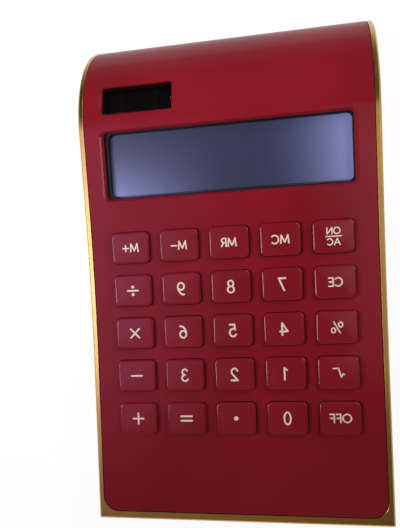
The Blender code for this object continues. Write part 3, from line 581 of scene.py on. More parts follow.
def lacquer_finish(name, coat_weight, coat_index, coat_haze):
    """Deep red gloss: a faintly cloudy base under a clear coat with a trace of orange peel and dust."""
    base = tuple(settings("finishes").lacquer)
    tree, shader, place = new_finish(name, base, 0.42)
    tint = ramp(tree, noise(tree, place, 28.0, 2.0), (0.35, times(base, 0.90)), (0.65, times(base, 1.09)))
    specks = add(tree, "TexVoronoi", {"Scale": 260.0, "Vector": place}).outputs["Distance"]
    dust = ramp(tree, specks, (0.0, grey(0.06)), (0.035, grey(0.0)))
    smear = noise(tree, place, 60.0, 4.0, 0.6, (1.0, 0.35, 1.0))
    inputs = {
        "Base Color": added(tree, tint, dust),
        "Roughness": mapped(tree, smear, 0.34, 0.50),
        "Specular IOR Level": 0.0,
        "Coat Weight": coat_weight,
        "Coat Roughness": coat_haze,
        "Coat IOR": coat_index,
    }
    plug(tree, shader, inputs)
    bump(tree, shader, noise(tree, place, 420.0, 1.0), 0.000012, 0.35)


def gilt_finish():
    """Satin gold plating: warm metal with drawn-out streaks in its gloss and a grain too fine to count."""
    base, haze = tuple(settings("finishes").gilt), settings("finishes").gilt_haze
    tree, shader, place = new_finish("gilt_plating", base, haze, 1.0)
    tint = ramp(tree, noise(tree, place, 45.0, 3.0), (0.30, times(base, 0.92, 0.88, 0.82)), (0.62, base))
    streaks = noise(tree, place, 900.0, 2.0, 0.5, (1.0, 0.04, 1.0))
    plug(tree, shader, {"Base Color": tint, "Roughness": mapped(tree, streaks, haze - 0.02, haze + 0.02)})
    bump(tree, shader, noise(tree, place, 2600.0, 2.0), 0.000008, 0.3)


def legend_finish():
    """Pale gold ink, a little uneven, with a soft sheen."""
    base = tuple(settings("finishes").legend)
    tree, shader, place = new_finish("legend_ink", base, 0.38)
    patch = noise(tree, place, 1500.0, 3.0)
    tint = ramp(tree, patch, (0.3, times(base, 0.86)), (0.6, base))
    plug(tree, shader, {"Base Color": tint, "Specular IOR Level": 0.4})
    bump(tree, shader, patch, 0.00001, 0.4)


def moulded_finish(name, base, roughness, grain_scale, grain_depth, gloss=0.5):
    """Moulded plastic or rubber with a fine spark-eroded grain."""
    tree, shader, place = new_finish(name, base, roughness)
    grain = noise(tree, place, grain_scale, 3.0, 0.6)
    tint = ramp(tree, grain, (0.35, base), (0.75, times(base, 1.35)))
    uneven = mapped(tree, noise(tree, place, 40.0, 2.0), roughness - 0.06, roughness + 0.06)
    plug(tree, shader, {"Base Color": tint, "Roughness": uneven, "Specular IOR Level": gloss})
    bump(tree, shader, grain, grain_depth, 0.6)


def metal_finish(name, base, roughness, scale):
    """Plated metal with a faint drawn grain."""
    tree, shader, place = new_finish(name, base, roughness, 1.0)
    grain = noise(tree, place, scale, 3.0, 0.6, (1.0, 0.15, 1.0))
    tint = ramp(tree, grain, (0.3, times(base, 0.82)), (0.7, base))
    plug(tree, shader, {"Base Color": tint, "Roughness": mapped(tree, grain, roughness - 0.08, roughness + 0.12)})


def display_finish():
    """Grey-blue display with a matt tooth, and a painted reflection: its tint turns paler towards the front left corner
    and the right end.

    The share of the painted reflection is left^1.5 (0.9 front^1.8 + 0.01) + right^3.2, where front rises from the rear
    edge to the front one, and left and right from the middle to their ends.
    """
    finishes, windows = settings("finishes"), settings("windows")
    dark, pale = tuple(finishes.display_dark), tuple(finishes.display_painted_reflection)
    tree, shader, place = new_finish("display_tint", dark, 0.36)
    place_axes = add(tree, "SeparateXYZ", {"Vector": place}).outputs
    half, half_along = windows.glass_width / 2, windows.glass_length / 2
    front, rear = (float(face(windows.window_station + reach)[0]) for reach in (-half_along, half_along))
    middle = hand() * windows.glass_shift

    def power(axis, start, end, exponent):
        return combined(tree, "POWER", mapped(tree, place_axes[axis], 0.0, 1.0, start, end), exponent)

    lower = combined(tree, "MULTIPLY", power("Y", rear, front, 1.8), 0.9)
    lower = combined(tree, "ADD", lower, 0.01)
    left = combined(tree, "MULTIPLY", power("X", middle, middle - half, 1.5), lower)
    total = combined(tree, "ADD", left, power("X", middle, middle + half, 3.2))
    # Painted reflection: the ramp lays the paler tint where light reflected off the display would fall
    plug(tree, shader, {"Base Color": ramp(tree, total, (0.0, dark), (1.0, pale))})
    bump(tree, shader, noise(tree, place, 5200.0, 1.0), 0.000002, 0.2)


def surface(tree, share_of_second, first, second):
    """Makes a material's surface a mix of two shaders."""
    mix = add(tree, "MixShader", {"Fac": share_of_second, 1: first, 2: second})
    plug(tree, tree.nodes["Material Output"], {"Surface": mix.outputs["Shader"]})


def clear_finish(name, tint, mirror_share, roughness):
    """A thin clear window: light passes straight through its tint, and a gloss that grows at a glance lies over it."""
    tree, shader, place = new_finish(name, tint, roughness)
    tree.nodes.remove(shader)
    through = add(tree, "BsdfTransparent", {"Color": (*tint, 1.0)})
    smear = mapped(tree, noise(tree, place, 70.0, 3.0), roughness * 0.6, roughness * 1.6)
    gloss = add(tree, "BsdfGlossy", {"Roughness": smear})
    facing = add(tree, "LayerWeight", {"Blend": 0.5}).outputs["Facing"]
    steep = combined(tree, "MULTIPLY", combined(tree, "POWER", facing, 5.0), 0.7)
    surface(tree, combined(tree, "ADD", steep, mirror_share), through.outputs["BSDF"], gloss.outputs["BSDF"])


def solar_finish():
    """The cell under its window: near black strips with hair-thin collector lines between them."""
    strip, line = (0.022, 0.016, 0.016), (0.07, 0.055, 0.05)
    tree, shader, place = new_finish("solar_strips", strip, 0.25)
    wave = add(tree, "TexWave", {"Scale": 25.0, "Vector": place}, wave_type="BANDS", bands_direction="X")
    plug(tree, shader, {"Base Color": ramp(tree, wave.outputs["Fac"], (0.0, line), (0.06, strip))})


def floor_finish(tint):
    """A pale matt floor that the camera and the reflections see near white, and that still takes the shadow."""
    tree, shader, _ = new_finish("pale_floor", tint, 0.9)
    plug(tree, shader, {"Specular IOR Level": 0.0})
    rays = add(tree, "LightPath", {}).outputs
    mirrored = combined(tree, "MAXIMUM", rays["Is Glossy Ray"], rays["Is Transmission Ray"])
    direct = combined(tree, "MULTIPLY", rays["Is Camera Ray"], 0.85)
    seen = combined(tree, "MAXIMUM", direct, combined(tree, "MULTIPLY", mirrored, 0.7))
    white = add(tree, "Emission", {"Strength": 1.08})
    surface(tree, seen, shader.outputs["BSDF"], white.outputs["Emission"])
    return bpy.data.materials["pale_floor"]


def finish(name):
    """The material of that name, made the first time it is asked for."""
    finishes = settings("finishes")
    made = {
        "red_lacquer": (lacquer_finish, finishes.coat_weight, 1.38, finishes.lacquer_haze),
        "key_lacquer": (lacquer_finish, 0.7, 1.45, finishes.key_haze),
        "clear_lens": (clear_finish, (0.96, 0.97, 1.0), 0.013, 0.05),
        "smoked_window": (clear_finish, (0.55, 0.48, 0.48), 0.04, 0.07),
        "black_mask": (moulded_finish, (0.0035, 0.0035, 0.006), 0.52, 2400.0, 0.000010, 0.25),
        "textured_black": (moulded_finish, (0.018, 0.018, 0.019), 0.55, 1700.0, 0.00004),
        "black_rubber": (moulded_finish, (0.014, 0.014, 0.014), 0.80, 900.0, 0.00003),
        "grey_silicone": (moulded_finish, (0.36, 0.36, 0.35), 0.62, 700.0, 0.00002),
        "board_laminate": (moulded_finish, (0.03, 0.12, 0.045), 0.42, 500.0, 0.00001),
        "black_resin": (moulded_finish, (0.008, 0.008, 0.008), 0.30, 300.0, 0.00002),
        "sleeve_film": (moulded_finish, (0.055, 0.075, 0.11), 0.30, 500.0, 0.000008),
        "nickel_steel": (metal_finish, (0.56, 0.55, 0.52), 0.30, 1200.0),
        "reflector_foil": (metal_finish, (0.62, 0.62, 0.64), 0.38, 900.0),
    }
    single = {
        "gilt_plating": gilt_finish,
        "legend_ink": legend_finish,
        "display_tint": display_finish,
        "solar_strips": solar_finish,
    }
    if name in single and name not in bpy.data.materials:
        single[name]()
    elif name not in bpy.data.materials:
        maker, *sizes = made[name]
        maker(name, *sizes)
    return bpy.data.materials[name]


# Pieces


def path_normal(y, z):
    """For points near the face, the nearest place on the profile: its distance and its outward normal."""
    start, end = roll_span()
    stations = np.linspace(-0.004, end + 0.02, 9000)
    py, pz, slope = face(stations)
    best = np.empty(len(y), int)
    for first in range(0, len(y), 2000):
        part = slice(first, first + 2000)
        apart = (y[part, None] - py) ** 2 + (z[part, None] - pz) ** 2
        best[part] = apart.argmin(axis=1)
    gap = np.hypot(y - py[best], z - pz[best])
    normal = np.stack((np.zeros(len(y)), -np.sin(slope[best]), np.cos(slope[best])), axis=1)
    return gap, normal


def true_normals(obj):
    """Gives every corner that lies on the face the face's own normal there, so that reflections run on unbroken."""
    mesh = obj.data
    co = values(mesh.vertices, "co", 3)
    gap, ideal = path_normal(co[:, 1], co[:, 2])
    corners = values(mesh.loops, "vertex_index", 1, int)
    flat = np.repeat(values(mesh.polygons, "normal", 3), values(mesh.polygons, "loop_total", 1, int), axis=0)
    normals = values(mesh.corner_normals, "vector", 3)
    along = (flat * ideal[corners]).sum(axis=1) > math.cos(math.radians(30.0))
    near = (gap[corners] < 1.5 * NEAR_FACE) & along
    normals[near] = ideal[corners][near]
    mesh.normals_split_custom_set(normals.tolist())


def side_prism(name, points, half):
    """A (y, z) outline given a thickness along X."""
    turn = Matrix(((0, 0, 1, 0), (1, 0, 0, 0), (0, 1, 0, 0), (0, 0, 0, 1)))
    return prism(name, points, -half, half, turn)


def side_outline(depth, floor):
    """The cover's side outline: the face, a step inside the rear lip and down to the skirt's floor."""
    body = settings("body")
    middle = rear_end() / 2
    front = body.front_rim + depth
    step = body.foot_stand + body.rear_lip + body.seam + depth
    rear = rear_end() - body.rear_rim - body.seam - depth
    first = (front - depth * math.sin(body.tilt) - body.front_rim) / math.cos(body.tilt)
    y, z, _ = face(curve_stations(first, station_at_height(step, depth)), depth)
    top = np.stack((y, z), axis=1)
    ends = np.array([(rear - middle, step), (rear - middle, floor), (front - middle, floor)])
    return np.concatenate((top, ends))[::-1]


def plan_outline(grow):
    """The cover's outline from above, grown on all sides: round corners at the front and square ones at the rear."""
    body = settings("body")
    half = body.body_width / 2 - body.side_rim + grow
    front = body.front_rim - grow - rear_end() / 2
    rear = rear_end() / 2 + OVERRUN
    past_rear = rear - front + 1.0
    points = outline(2 * half, past_rear, body.corner_radius + grow, 14, (0.0, front + past_rear / 2))
    points[:, 1] = np.minimum(points[:, 1], rear)
    keep = np.ones(len(points), bool)
    keep[1:] = np.abs(np.diff(points, axis=0)).sum(axis=1) > 1e-9
    points = points[keep]
    at_rear = points[:, 1] >= rear - 1e-9
    corner = np.abs(points[:, 0]) >= np.abs(points[at_rear, 0]).max() - 1e-9
    return points[~at_rear | corner]


def lip_profile(radius, depth):
    """(grow, height) rows of a rounded lip: it widens by r (1 - sin a) at a depth of r (1 - cos a) under the face."""
    a = np.linspace(math.pi / 2, 0.0, 5)
    rim = np.stack((radius * (1 - np.sin(a)), -radius * (1 - np.cos(a))), axis=1)
    return np.concatenate(([(0.0, -depth)], rim, [(radius, OVERRUN)]))


def bevel_profile(width, depth):
    """(grow, height) rows of a bevel that is bowed outwards: an arc whose slope goes from 34 to 60 degrees."""
    a = np.radians(np.linspace(60.0, 34.0, 6))
    radius = width / (math.sin(a[0]) - math.sin(a[-1]))
    rim = np.stack((radius * (np.sin(a[-1]) - np.sin(a)), radius * (np.cos(a) - np.cos(a[-1]))), axis=1)
    return np.concatenate(([(-width, -depth)], rim, [(OVERRUN, OVERRUN)]))


def flared(name, width, along, radius, profile, matrix, steps=6, squeeze=1.0):
    """A cutter through the face: a stack of outlines, each grown by a row of its profile."""
    rings = []
    for grow, height in profile:
        corner = max(radius + grow * squeeze, radius / 2)
        rings.append(ring(width + 2 * grow, along + 2 * grow * squeeze, corner, height, steps))
    return stack(name, rings, matrix)


def key_places():
    """(name, legend, x, station) of every key."""
    keys = settings("keys")
    rows = len(KEY_ROWS)
    for row, names in enumerate(KEY_ROWS):
        station = keys.nearest_row + (rows - 1 - row) * keys.row_pitch
        for column, (name, legend) in enumerate(names):
            yield name, legend, hand() * (column - (len(names) - 1) / 2) * keys.column_pitch, station


def cover_block(name, depth, floor, base):
    """The cover's form sunk by a depth: its side outline crossed with its plan, which starts at a base height."""
    block = outward(side_prism(name, side_outline(depth, floor), settings("body").body_width))
    plan = prism("plan", plan_outline(-depth), base, 0.2, Matrix())
    return outward(carve(block, [("INTERSECT", plan)]))


def make_cover():
    """The lacquered shell: its outer block with a rounded edge, hollowed, padded under the solar window and cut."""
    body, keys, windows = settings("body"), settings("keys"), settings("windows")
    shell = cover_block("lacquered_cover", 0.0, body.flange_top + SEAT_GAP, -0.01)
    round_edges(shell, body.edge_radius)
    hollow = cover_block("hollow", body.wall, -OVERRUN, -0.02)
    hole = keys.width + 2 * keys.gap, keys.length + 2 * keys.gap, keys.corner_radius + keys.gap
    lip = lip_profile(keys.lip_radius, 0.004)
    holes = [flared("hole", *hole, lip, face_frame(station, x)) for _, _, x, station in key_places()]
    corner = windows.window_corner + windows.window_bevel / 2
    bevel = bevel_profile(windows.window_bevel, 0.004)
    at = face_frame(windows.window_station)
    window = windows.window_width, windows.window_length, corner, bevel, at, 8, windows.bevel_squeeze
    solar = face_frame(windows.solar_station, -hand() * windows.solar_reach)
    reach = 2 * windows.solar_bevel + 2 * SEAT_GAP
    solar_bevel = bevel_profile(windows.solar_bevel, 0.006)
    solar_hole = windows.solar_width + reach, windows.solar_length + reach, 0.0012, solar_bevel, solar, 5
    seat = 2 * windows.solar_seat
    pad = outline(windows.solar_width + seat, windows.solar_length + seat, 0.0005, 3)
    sag = body.roll_radius - math.sqrt(body.roll_radius**2 - ((windows.solar_length + seat) / 2) ** 2)
    carve(
        shell,
        [
            ("DIFFERENCE", hollow),
            ("UNION", prism("pad", pad, -windows.solar_pad, -body.wall / 2 - sag, solar)),
            ("DIFFERENCE", merged("holes", holes)),
            ("DIFFERENCE", flared("opening", *window)),
            ("DIFFERENCE", flared("solar_hole", *solar_hole)),
        ],
    )
    true_normals(smooth(outward(shell), 28.0))
    give(shell, "red_lacquer", "housing", "lacquer", "front_cover")


def round_edges(obj, radius):
    """Rounds the edge between the face and the skirt, all but the hidden step at the rear."""
    mesh, body = obj.data, settings("body")
    mesh.update()
    co = values(mesh.vertices, "co", 3)
    gap, _ = path_normal(co[:, 1], co[:, 2])
    a, b = values(mesh.edges, "vertices", 2, int).T
    on_face = (gap[a] < NEAR_FACE) & (gap[b] < NEAR_FACE)
    half = body.body_width / 2 - body.side_rim
    front = body.front_rim - rear_end() / 2
    turn = body.corner_radius

    def at_rim(points):
        x, y = np.abs(points[:, 0]), points[:, 1]
        side = x > half - 1e-6
        edge = y < front + 1e-6
        from_corner = np.hypot(x - (half - turn), y - (front + turn))
        corner = (x > half - turn) & (y < front + turn) & (from_corner > turn - CHORD_SAG)
        return side | edge | corner

    weight = (on_face & at_rim(co[a]) & at_rim(co[b])).astype(np.float32)
    attribute = mesh.attributes.new("bevel_weight_edge", "FLOAT", "EDGE")
    attribute.data.foreach_set("value", weight)
    modifier = obj.modifiers.new("Edge", "BEVEL")
    modifier.limit_method = "WEIGHT"
    modifier.width = radius
    modifier.segments = 4
    modifier.use_clamp_overlap = False
    carve(obj, [])


def make_gilt_frame():
    """The gilt frame: a rim profile carried round the two sides and the front, and a low lip across the rear.

    The profile runs from the inner wall over the flat facet and the chamfer to the outer wall. Each of its points has
    an outset share and a depth. On the sides a point sits at x = the inner half plus its outset, on the path at its
    depth. At the front corners it turns through a quarter circle whose radius shrinks from the cover's to a small one.
    """
    body = settings("body")
    soft, chamfer = body.rim_softening, body.rim_chamfer
    middle, floor = rear_end() / 2, body.foot_stand
    inner_half = body.body_width / 2 - body.side_rim + body.seam
    turns = np.linspace(0.0, math.pi / 2, 4)
    inner = [(soft * (1 - math.cos(t)), soft * (1 - math.sin(t))) for t in turns]
    lean = np.linspace(0.0, math.pi / 4, 3)
    knee = [(soft * (math.sin(t) - math.tan(math.pi / 8)), soft * (1 - math.cos(t))) for t in lean]
    profile = [(True, 0.0, None)] + [(True, offset, depth) for offset, depth in inner]
    profile += [(False, offset - chamfer, depth) for offset, depth in knee]
    profile += [(False, -depth, chamfer - offset) for offset, depth in reversed(knee)]
    profile += [(False, 0.0, None)]
    end_station = station_at_height(floor)
    corner_turns = np.linspace(0.0, math.pi / 2, 13)
    columns = []
    for inside, offset, depth in profile:
        side = inner_half + offset if inside else body.body_width / 2 + offset
        front = body.front_rim - body.seam - offset if inside else -offset
        radius = body.corner_radius + body.seam - offset if inside else body.outer_radius + offset
        at_floor, depth = depth is None, depth or 0.0
        y, z, _ = face(np.linspace((front + radius - body.front_rim) / math.cos(body.tilt), end_station, 200), depth)
        arc_x = side - radius + radius * np.cos(corner_turns)
        arc_y = front + radius - middle - radius * np.sin(corner_turns)
        arc_rise = (arc_y + middle - body.front_rim) * math.tan(body.tilt)
        arc_z = body.front_height + arc_rise - depth / math.cos(body.tilt)
        if at_floor:
            z, arc_z = np.full_like(y, floor), np.full_like(arc_x, floor)
        side_points = np.stack((np.full_like(y, side), y, z), axis=1)[::-1]
        half_loop = np.concatenate((side_points[:-1], np.stack((arc_x, arc_y, arc_z), axis=1)))
        other = half_loop[::-1] * np.array((-1.0, 1.0, 1.0))
        columns.append(np.concatenate((half_loop, other)))
    rail = skin("rail", np.stack(columns, axis=1))
    lip_top = floor + body.rear_lip
    lip_inner = rear_end() - body.rear_rim - middle
    y, z, _ = face(np.linspace(station_at_height(lip_top - soft), end_station, 8))
    top = [(y[0] - soft, lip_top), (lip_inner + soft, lip_top), (lip_inner, lip_top - soft), (lip_inner, floor)]
    lip = side_prism("lip", np.concatenate((np.stack((y, z), axis=1)[::-1], top)), inner_half + soft)
    gilt = merged("gilt_frame", [outward(rail), outward(lip)])
    true_normals(smooth(gilt, 32.0))
    give(gilt, "gilt_plating", "housing", "gilt", "trim_frame")


def make_key(name, x, station):
    """One key: round-cornered rings from its stem over the flange, up the wall, round the top edge and in over a crown.

    The edge turns from the wall to the top: arcs of the edge radius, with a band between slopes of 33 and 17 degrees
    that is as wide as the facet. Its rings add step times (cos, sin) of the slope. Inside them the crown rises as
    (1 - (x / a)^2) (1 - (y / b)^2), where a and b are half the width and half the length of the top.
    """
    keys, body = settings("keys"), settings("body")
    stem = 0.0044, 0.0034, 0.0008
    flange, flange_thickness = 0.0008, 0.0009
    inner = 0.0008
    hold = -body.wall - SEAT_GAP
    low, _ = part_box(name)
    _, z, slope = (float(v) for v in face(station))
    stem_end = (low.z - z) / math.cos(slope) + stem[1] / 2 * abs(math.sin(slope))

    def around(shrink, height):
        corner = max(keys.corner_radius - shrink, 0.0004)
        return ring(keys.width - 2 * shrink, keys.length - 2 * shrink, corner, height, 7)

    rings = [ring(*stem, stem_end, 7), ring(*stem, hold - flange_thickness, 7)]
    rings += [around(-flange, hold - flange_thickness), around(-flange, hold), around(0.0, hold)]
    top = keys.height - keys.crown
    slopes = np.radians([90.0, 75.0, 60.0, 46.0, 33.0, 29.0, 25.0, 21.0, 17.0, 9.0, 0.0])
    middles = (slopes[1:] + slopes[:-1]) / 2
    steps = keys.edge_radius * (slopes[:-1] - slopes[1:])
    steps[4:8] = keys.edge_facet / 4
    shrinks = np.concatenate(([0.0], np.cumsum(steps * np.cos(middles))))
    rises = np.concatenate(([0.0], np.cumsum(steps * np.sin(middles))))
    rings += [around(shrink, top - rises[-1] + rise) for shrink, rise in zip(shrinks, rises)]
    edge = shrinks[-1]
    for shrink in np.linspace(edge, keys.length / 2 - inner, 9)[1:]:
        crowned = around(shrink, top)
        u, v = crowned[:, 0] / (keys.width / 2 - edge), crowned[:, 1] / (keys.length / 2 - edge)
        crowned[:, 2] += keys.crown * (1 - u**2) * (1 - v**2)
        rings.append(crowned)
    cap = stack(name + "_cap", rings, face_frame(station, x))
    smooth(outward(cap), 40.0)
    give(cap, "key_lacquer", name, "lacquer", name)


def make_key_mat():
    """The silicone sheet over the board, and under each key a dome at rest.

    Both stand in the board's frame, which has the slope of the flat run and its origin at the cover's front edge.
    With the face at (along, rise) in that frame and leaning off it, the key's own line meets the level of the
    domes' tops at along + (rise - level) tan(lean). A dome's side is a straight taper, and its shoulder the arc
    (top - r + r sin t, height - r + r cos t).
    """
    keys, body = settings("keys"), settings("body")
    front = Matrix.Translation((0.0, body.front_rim - rear_end() / 2, body.front_height))
    board = front @ Matrix.Rotation(body.tilt, 4, "X")
    places = [(name, x, station) for name, _, x, station in key_places()]
    low, high = -keys.mat_depth, keys.mat_thickness - keys.mat_depth
    dome_level = high + keys.dome_height
    across = 2 * (max(x for _, x, _ in places) + keys.mat_border)
    ends = [station for _, _, station in places]
    run = max(ends) - min(ends) + 2 * keys.mat_border
    middle = Matrix.Translation((0.0, (max(ends) + min(ends)) / 2, 0.0))
    sheet = prism("key_sheet", outline(across, run, 0.0015), low, high, board @ middle)
    smooth(outward(sheet), 35.0)
    give(sheet, "grey_silicone", "housing", "silicone", "key_mat")
    turn = np.linspace(math.pi / 2, 0.0, 5)
    r, sunk = 0.0003, -0.00005
    shoulder = np.stack((keys.dome_top - r + r * np.sin(turn), keys.dome_height - r + r * np.cos(turn)), axis=1)
    foot = [(AXIS, sunk), (keys.dome_foot, sunk), (keys.dome_foot, 0.00015)]
    profile = np.concatenate((foot, shoulder, [(AXIS, keys.dome_height)]))
    for name, x, station in places:
        y, z, slope = (float(v) for v in face(station))
        local = board.inverted() @ Vector((x, y, z))
        along = local.y + (local.z - dome_level) * math.tan(slope - body.tilt)
        at = board @ Matrix.Translation((x, along, high))
        dome = smooth(outward(lathe(name + "_dome", profile, at, 32)), 35.0)
        give(dome, "grey_silicone", "housing", "silicone")
        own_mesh(dome)


# Legends: strokes in a box one unit high, each a list of runs that are straight or part of an ellipse


def straight(*points):
    """Separate strokes from corner to corner, each as its two ends."""
    return [np.array((a, b), float) for a, b in zip(points, points[1:])]


def bow(cx, cy, rx, ry, start, end, steps=28):
    """A stroke along an ellipse: (cx + rx cos t, cy + ry sin t) for t from start to end in degrees."""
    t = np.radians(np.linspace(start, end, steps))
    return np.stack((cx + rx * np.cos(t), cy + ry * np.sin(t)), axis=1)


def tail(*parts):
    """One stroke through several runs."""
    return np.concatenate([np.asarray(part, float) for part in parts])


def glyph(sign):
    """(strokes, width) of one sign."""
    six = [bow(0.30, 0.30, 0.27, 0.30, 0, 360), bow(0.52, 0.34, 0.49, 0.66, 184, 86)]
    signs = {
        "0": ([bow(0.29, 0.5, 0.26, 0.5, 0, 360)], 0.58),
        "1": ([tail(((0.30, 0.0), (0.30, 0.985))), tail(bow(0.02, 1.04, 0.27, 0.24, -78, -14, 8))], 0.40),
        "2": (
            [tail(bow(0.29, 0.72, 0.26, 0.28, 165, -38, 24), ((0.03, 0.0),)), tail(((0.03, 0.0), (0.58, 0.0)))],
            0.60,
        ),
        "3": ([bow(0.27, 0.76, 0.23, 0.24, 150, -90), bow(0.27, 0.26, 0.27, 0.26, 90, -150)], 0.56),
        "4": (straight((0.47, 0.0), (0.47, 1.0), (0.02, 0.30), (0.64, 0.30)), 0.64),
        "5": (straight((0.53, 1.0), (0.13, 1.0), (0.09, 0.56)) + [bow(0.27, 0.32, 0.28, 0.32, 132, -152)], 0.58),
        "6": (six, 0.60),
        "7": (straight((0.02, 1.0), (0.57, 1.0)) + straight((0.57, 1.0), (0.15, 0.0)), 0.60),
        "8": ([bow(0.29, 0.755, 0.22, 0.245, 0, 360), bow(0.29, 0.26, 0.27, 0.26, 0, 360)], 0.58),
        "9": ([np.array((0.60, 1.0)) - stroke for stroke in six], 0.60),
        "M": (straight((0.0, 0.0), (0.09, 1.0), (0.50, 0.10), (0.91, 1.0), (1.0, 0.0)), 1.0),
        "R": (straight((0.28, 1.0), (0.0, 1.0), (0.0, 0.0)) + [bow(0.28, 0.74, 0.26, 0.26, 90, -90, 14)]
              + straight((0.28, 0.48), (0.0, 0.48)) + straight((0.30, 0.48), (0.58, 0.0)), 0.58),
        "C": ([bow(0.48, 0.5, 0.48, 0.5, 48, 312)], 0.82),
        "E": (straight((0.52, 1.0), (0.0, 1.0), (0.0, 0.0), (0.52, 0.0)) + straight((0.0, 0.52), (0.46, 0.52)), 0.54),
        "O": ([bow(0.50, 0.5, 0.50, 0.5, 0, 360)], 1.00),
        "N": (straight((0.0, 0.0), (0.0, 1.0), (0.80, 0.0), (0.80, 1.0)), 0.80),
        "A": (straight((0.0, 0.0), (0.46, 1.0), (0.92, 0.0)) + straight((0.16, 0.34), (0.76, 0.34)), 0.92),
        "F": (straight((0.50, 1.0), (0.0, 1.0), (0.0, 0.0)) + straight((0.0, 0.52), (0.44, 0.52)), 0.52),
        "+": (straight((0.0, 0.46), (0.76, 0.46)) + straight((0.38, 0.08), (0.38, 0.84)), 0.76),
        "-": (straight((0.0, 0.46), (0.68, 0.46)), 0.68),
        "p": (straight((0.0, 0.5), (0.92, 0.5)) + straight((0.46, 0.04), (0.46, 0.96)), 0.92),
        "_": (straight((0.0, 0.5), (0.92, 0.5)), 0.92),
        "=": (straight((0.0, 0.31), (0.94, 0.31)) + straight((0.0, 0.69), (0.94, 0.69)), 0.94),
        "x": (straight((0.0, 0.12), (0.76, 0.88)) + straight((0.0, 0.88), (0.76, 0.12)), 0.76),
        ":": (straight((0.0, 0.5), (0.92, 0.5))
              + [bow(0.46, height, 0.062, 0.062, 0, 360, 14) for height in (0.83, 0.17)], 0.92),
        ".": ([bow(0.09, 0.5, 0.09, 0.09, 0, 360, 16)], 0.18),
        "%": ([bow(0.20, 0.76, 0.18, 0.22, 0, 360), bow(0.86, 0.24, 0.18, 0.22, 0, 360)]
              + straight((0.26, 0.0), (0.80, 1.0)), 1.06),
        "r": (straight((0.0, 0.30), (0.12, 0.40), (0.34, 0.02), (0.62, 1.0), (1.20, 1.0)), 1.20),
    }
    return signs[sign]


def word(text, height):
    """Strokes of a word, centred on the origin, at a height in metres."""
    strokes, across, gap = [], 0.0, 0.26
    for sign in text:
        parts, width = glyph(sign)
        strokes.extend(part + np.array((across, 0.0)) for part in parts)
        across += width + gap
    centre = np.array(((across - gap) / 2, 0.5))
    return [(stroke - centre) * height for stroke in strokes]


def bead(path, width, relief, root):
    """A printed stroke: a shallow arch carried along a path, with round ends.

    Across the path a point sits at w cos a, and over it at relief times sin a. At the ends the half width shrinks as
    cos t while the path runs on by w sin t.
    """
    closed = np.linalg.norm(path[0] - path[-1]) < 1e-9
    half = width / 2
    if closed:
        path = path[:-1]
        along = np.roll(path, -1, axis=0) - np.roll(path, 1, axis=0)
    else:
        along = np.gradient(path, axis=0)
    along /= np.linalg.norm(along, axis=1, keepdims=True)
    scale = np.ones(len(path))
    if not closed:
        t = np.linspace(0.0, math.pi / 2, 5)[1:]
        before = path[0] - along[0] * half * np.sin(t)[::-1, None]
        after = path[-1] + along[-1] * half * np.sin(t)[:, None]
        path = np.concatenate((before, path, after))
        along = np.concatenate((np.repeat(along[:1], 4, axis=0), along, np.repeat(along[-1:], 4, axis=0)))
        scale = np.concatenate((np.cos(t)[::-1], scale, np.cos(t)))
        scale = np.maximum(scale, 0.02)
    side = np.stack((-along[:, 1], along[:, 0]), axis=1)
    a = np.linspace(0.0, math.pi, 6)
    across = np.concatenate((np.cos(a), [-1.0, 1.0])) * half
    up = np.concatenate((relief * np.sin(a), [-root, -root]))
    flat = path[:, None, :] + side[:, None, :] * (across[None, :, None] * scale[:, None, None])
    rise = np.repeat(up[None, :], len(path), axis=0)
    return skin("stroke", np.concatenate((flat, rise[..., None]), axis=2), closed)


def legend_strokes(legend):
    """(strokes, stroke width) of a key's legend."""
    keys = settings("keys")
    if legend == "ON/AC":
        rise = keys.small_height * 0.89
        upper = [stroke + np.array((0.0, rise)) for stroke in word("ON", keys.small_height)]
        lower = [stroke - np.array((0.0, rise)) for stroke in word("AC", keys.small_height)]
        bar = [np.array(((-0.0026, 0.0), (0.0026, 0.0)))]
        return upper + lower + bar, 0.00042
    height, width = keys.digit_height, 0.00062
    if len(legend) > 1:
        height, width = keys.letter_height, 0.00050
    elif legend in "p_=x:":
        width = 0.00064
    elif legend == "r":
        height, width = keys.letter_height * 1.1, 0.00048
    elif legend == "%":
        height, width = keys.letter_height * 1.34, 0.00046
    elif legend == ".":
        width = 0.00082
    return word(legend, height), width


def make_legend(name, legend, x, station):
    """A key's legend, printed on its crown and mirrored with the hand."""
    keys = settings("keys")
    strokes, width = legend_strokes(legend)
    beads = []
    for stroke in strokes:
        stroke = stroke * np.array((-hand(), 1.0))
        if len(stroke) == 2:
            stroke = np.linspace(stroke[0], stroke[1], 3)
        beads.append(outward(bead(stroke, width, keys.print_relief, 0.00012)))
    ink = merged(name + "_legend", beads)
    smooth(placed(ink, face_frame(station, x, -keys.height + 0.000004)), 60.0)
    give(ink, "legend_ink", name, "lacquer")


def make_display():
    """The black mask round the display and the clear lens over it."""
    windows = settings("windows")
    at = face_frame(windows.window_station)
    under = 0.0032 - 2 * windows.window_bevel
    outer = windows.window_width + under, windows.window_length + under, 0.0008

    def glass_ring(grow, height):
        width, along = windows.glass_width + 2 * grow, windows.glass_length + 2 * grow
        return ring(width, along, windows.glass_corner + grow, height, 8, hand() * windows.glass_shift)

    edge = ((0.0002, -0.0021), (0.00005, -0.00216), (0.0, -0.0023), (0.0, -0.0033))
    rings = [ring(*outer, -0.0033, 8), ring(*outer, -0.0021, 8)] + [glass_ring(*row) for row in edge]
    mask = stack("display_mask", rings, at, True)
    smooth(outward(mask), 8.0)
    give(mask, "black_mask", "housing", "black_plastic", "display_bezel")
    edge = ((-0.0003, -0.00345), (-0.0003, -0.00255), (-0.00033, -0.00248), (-0.0004, -0.00245))
    lens = stack("clear_lens", [glass_ring(*row) for row in edge], at)
    smooth(outward(lens), 8.0)
    give(lens, "clear_lens", "housing", "clear_acrylic", "display_lens")


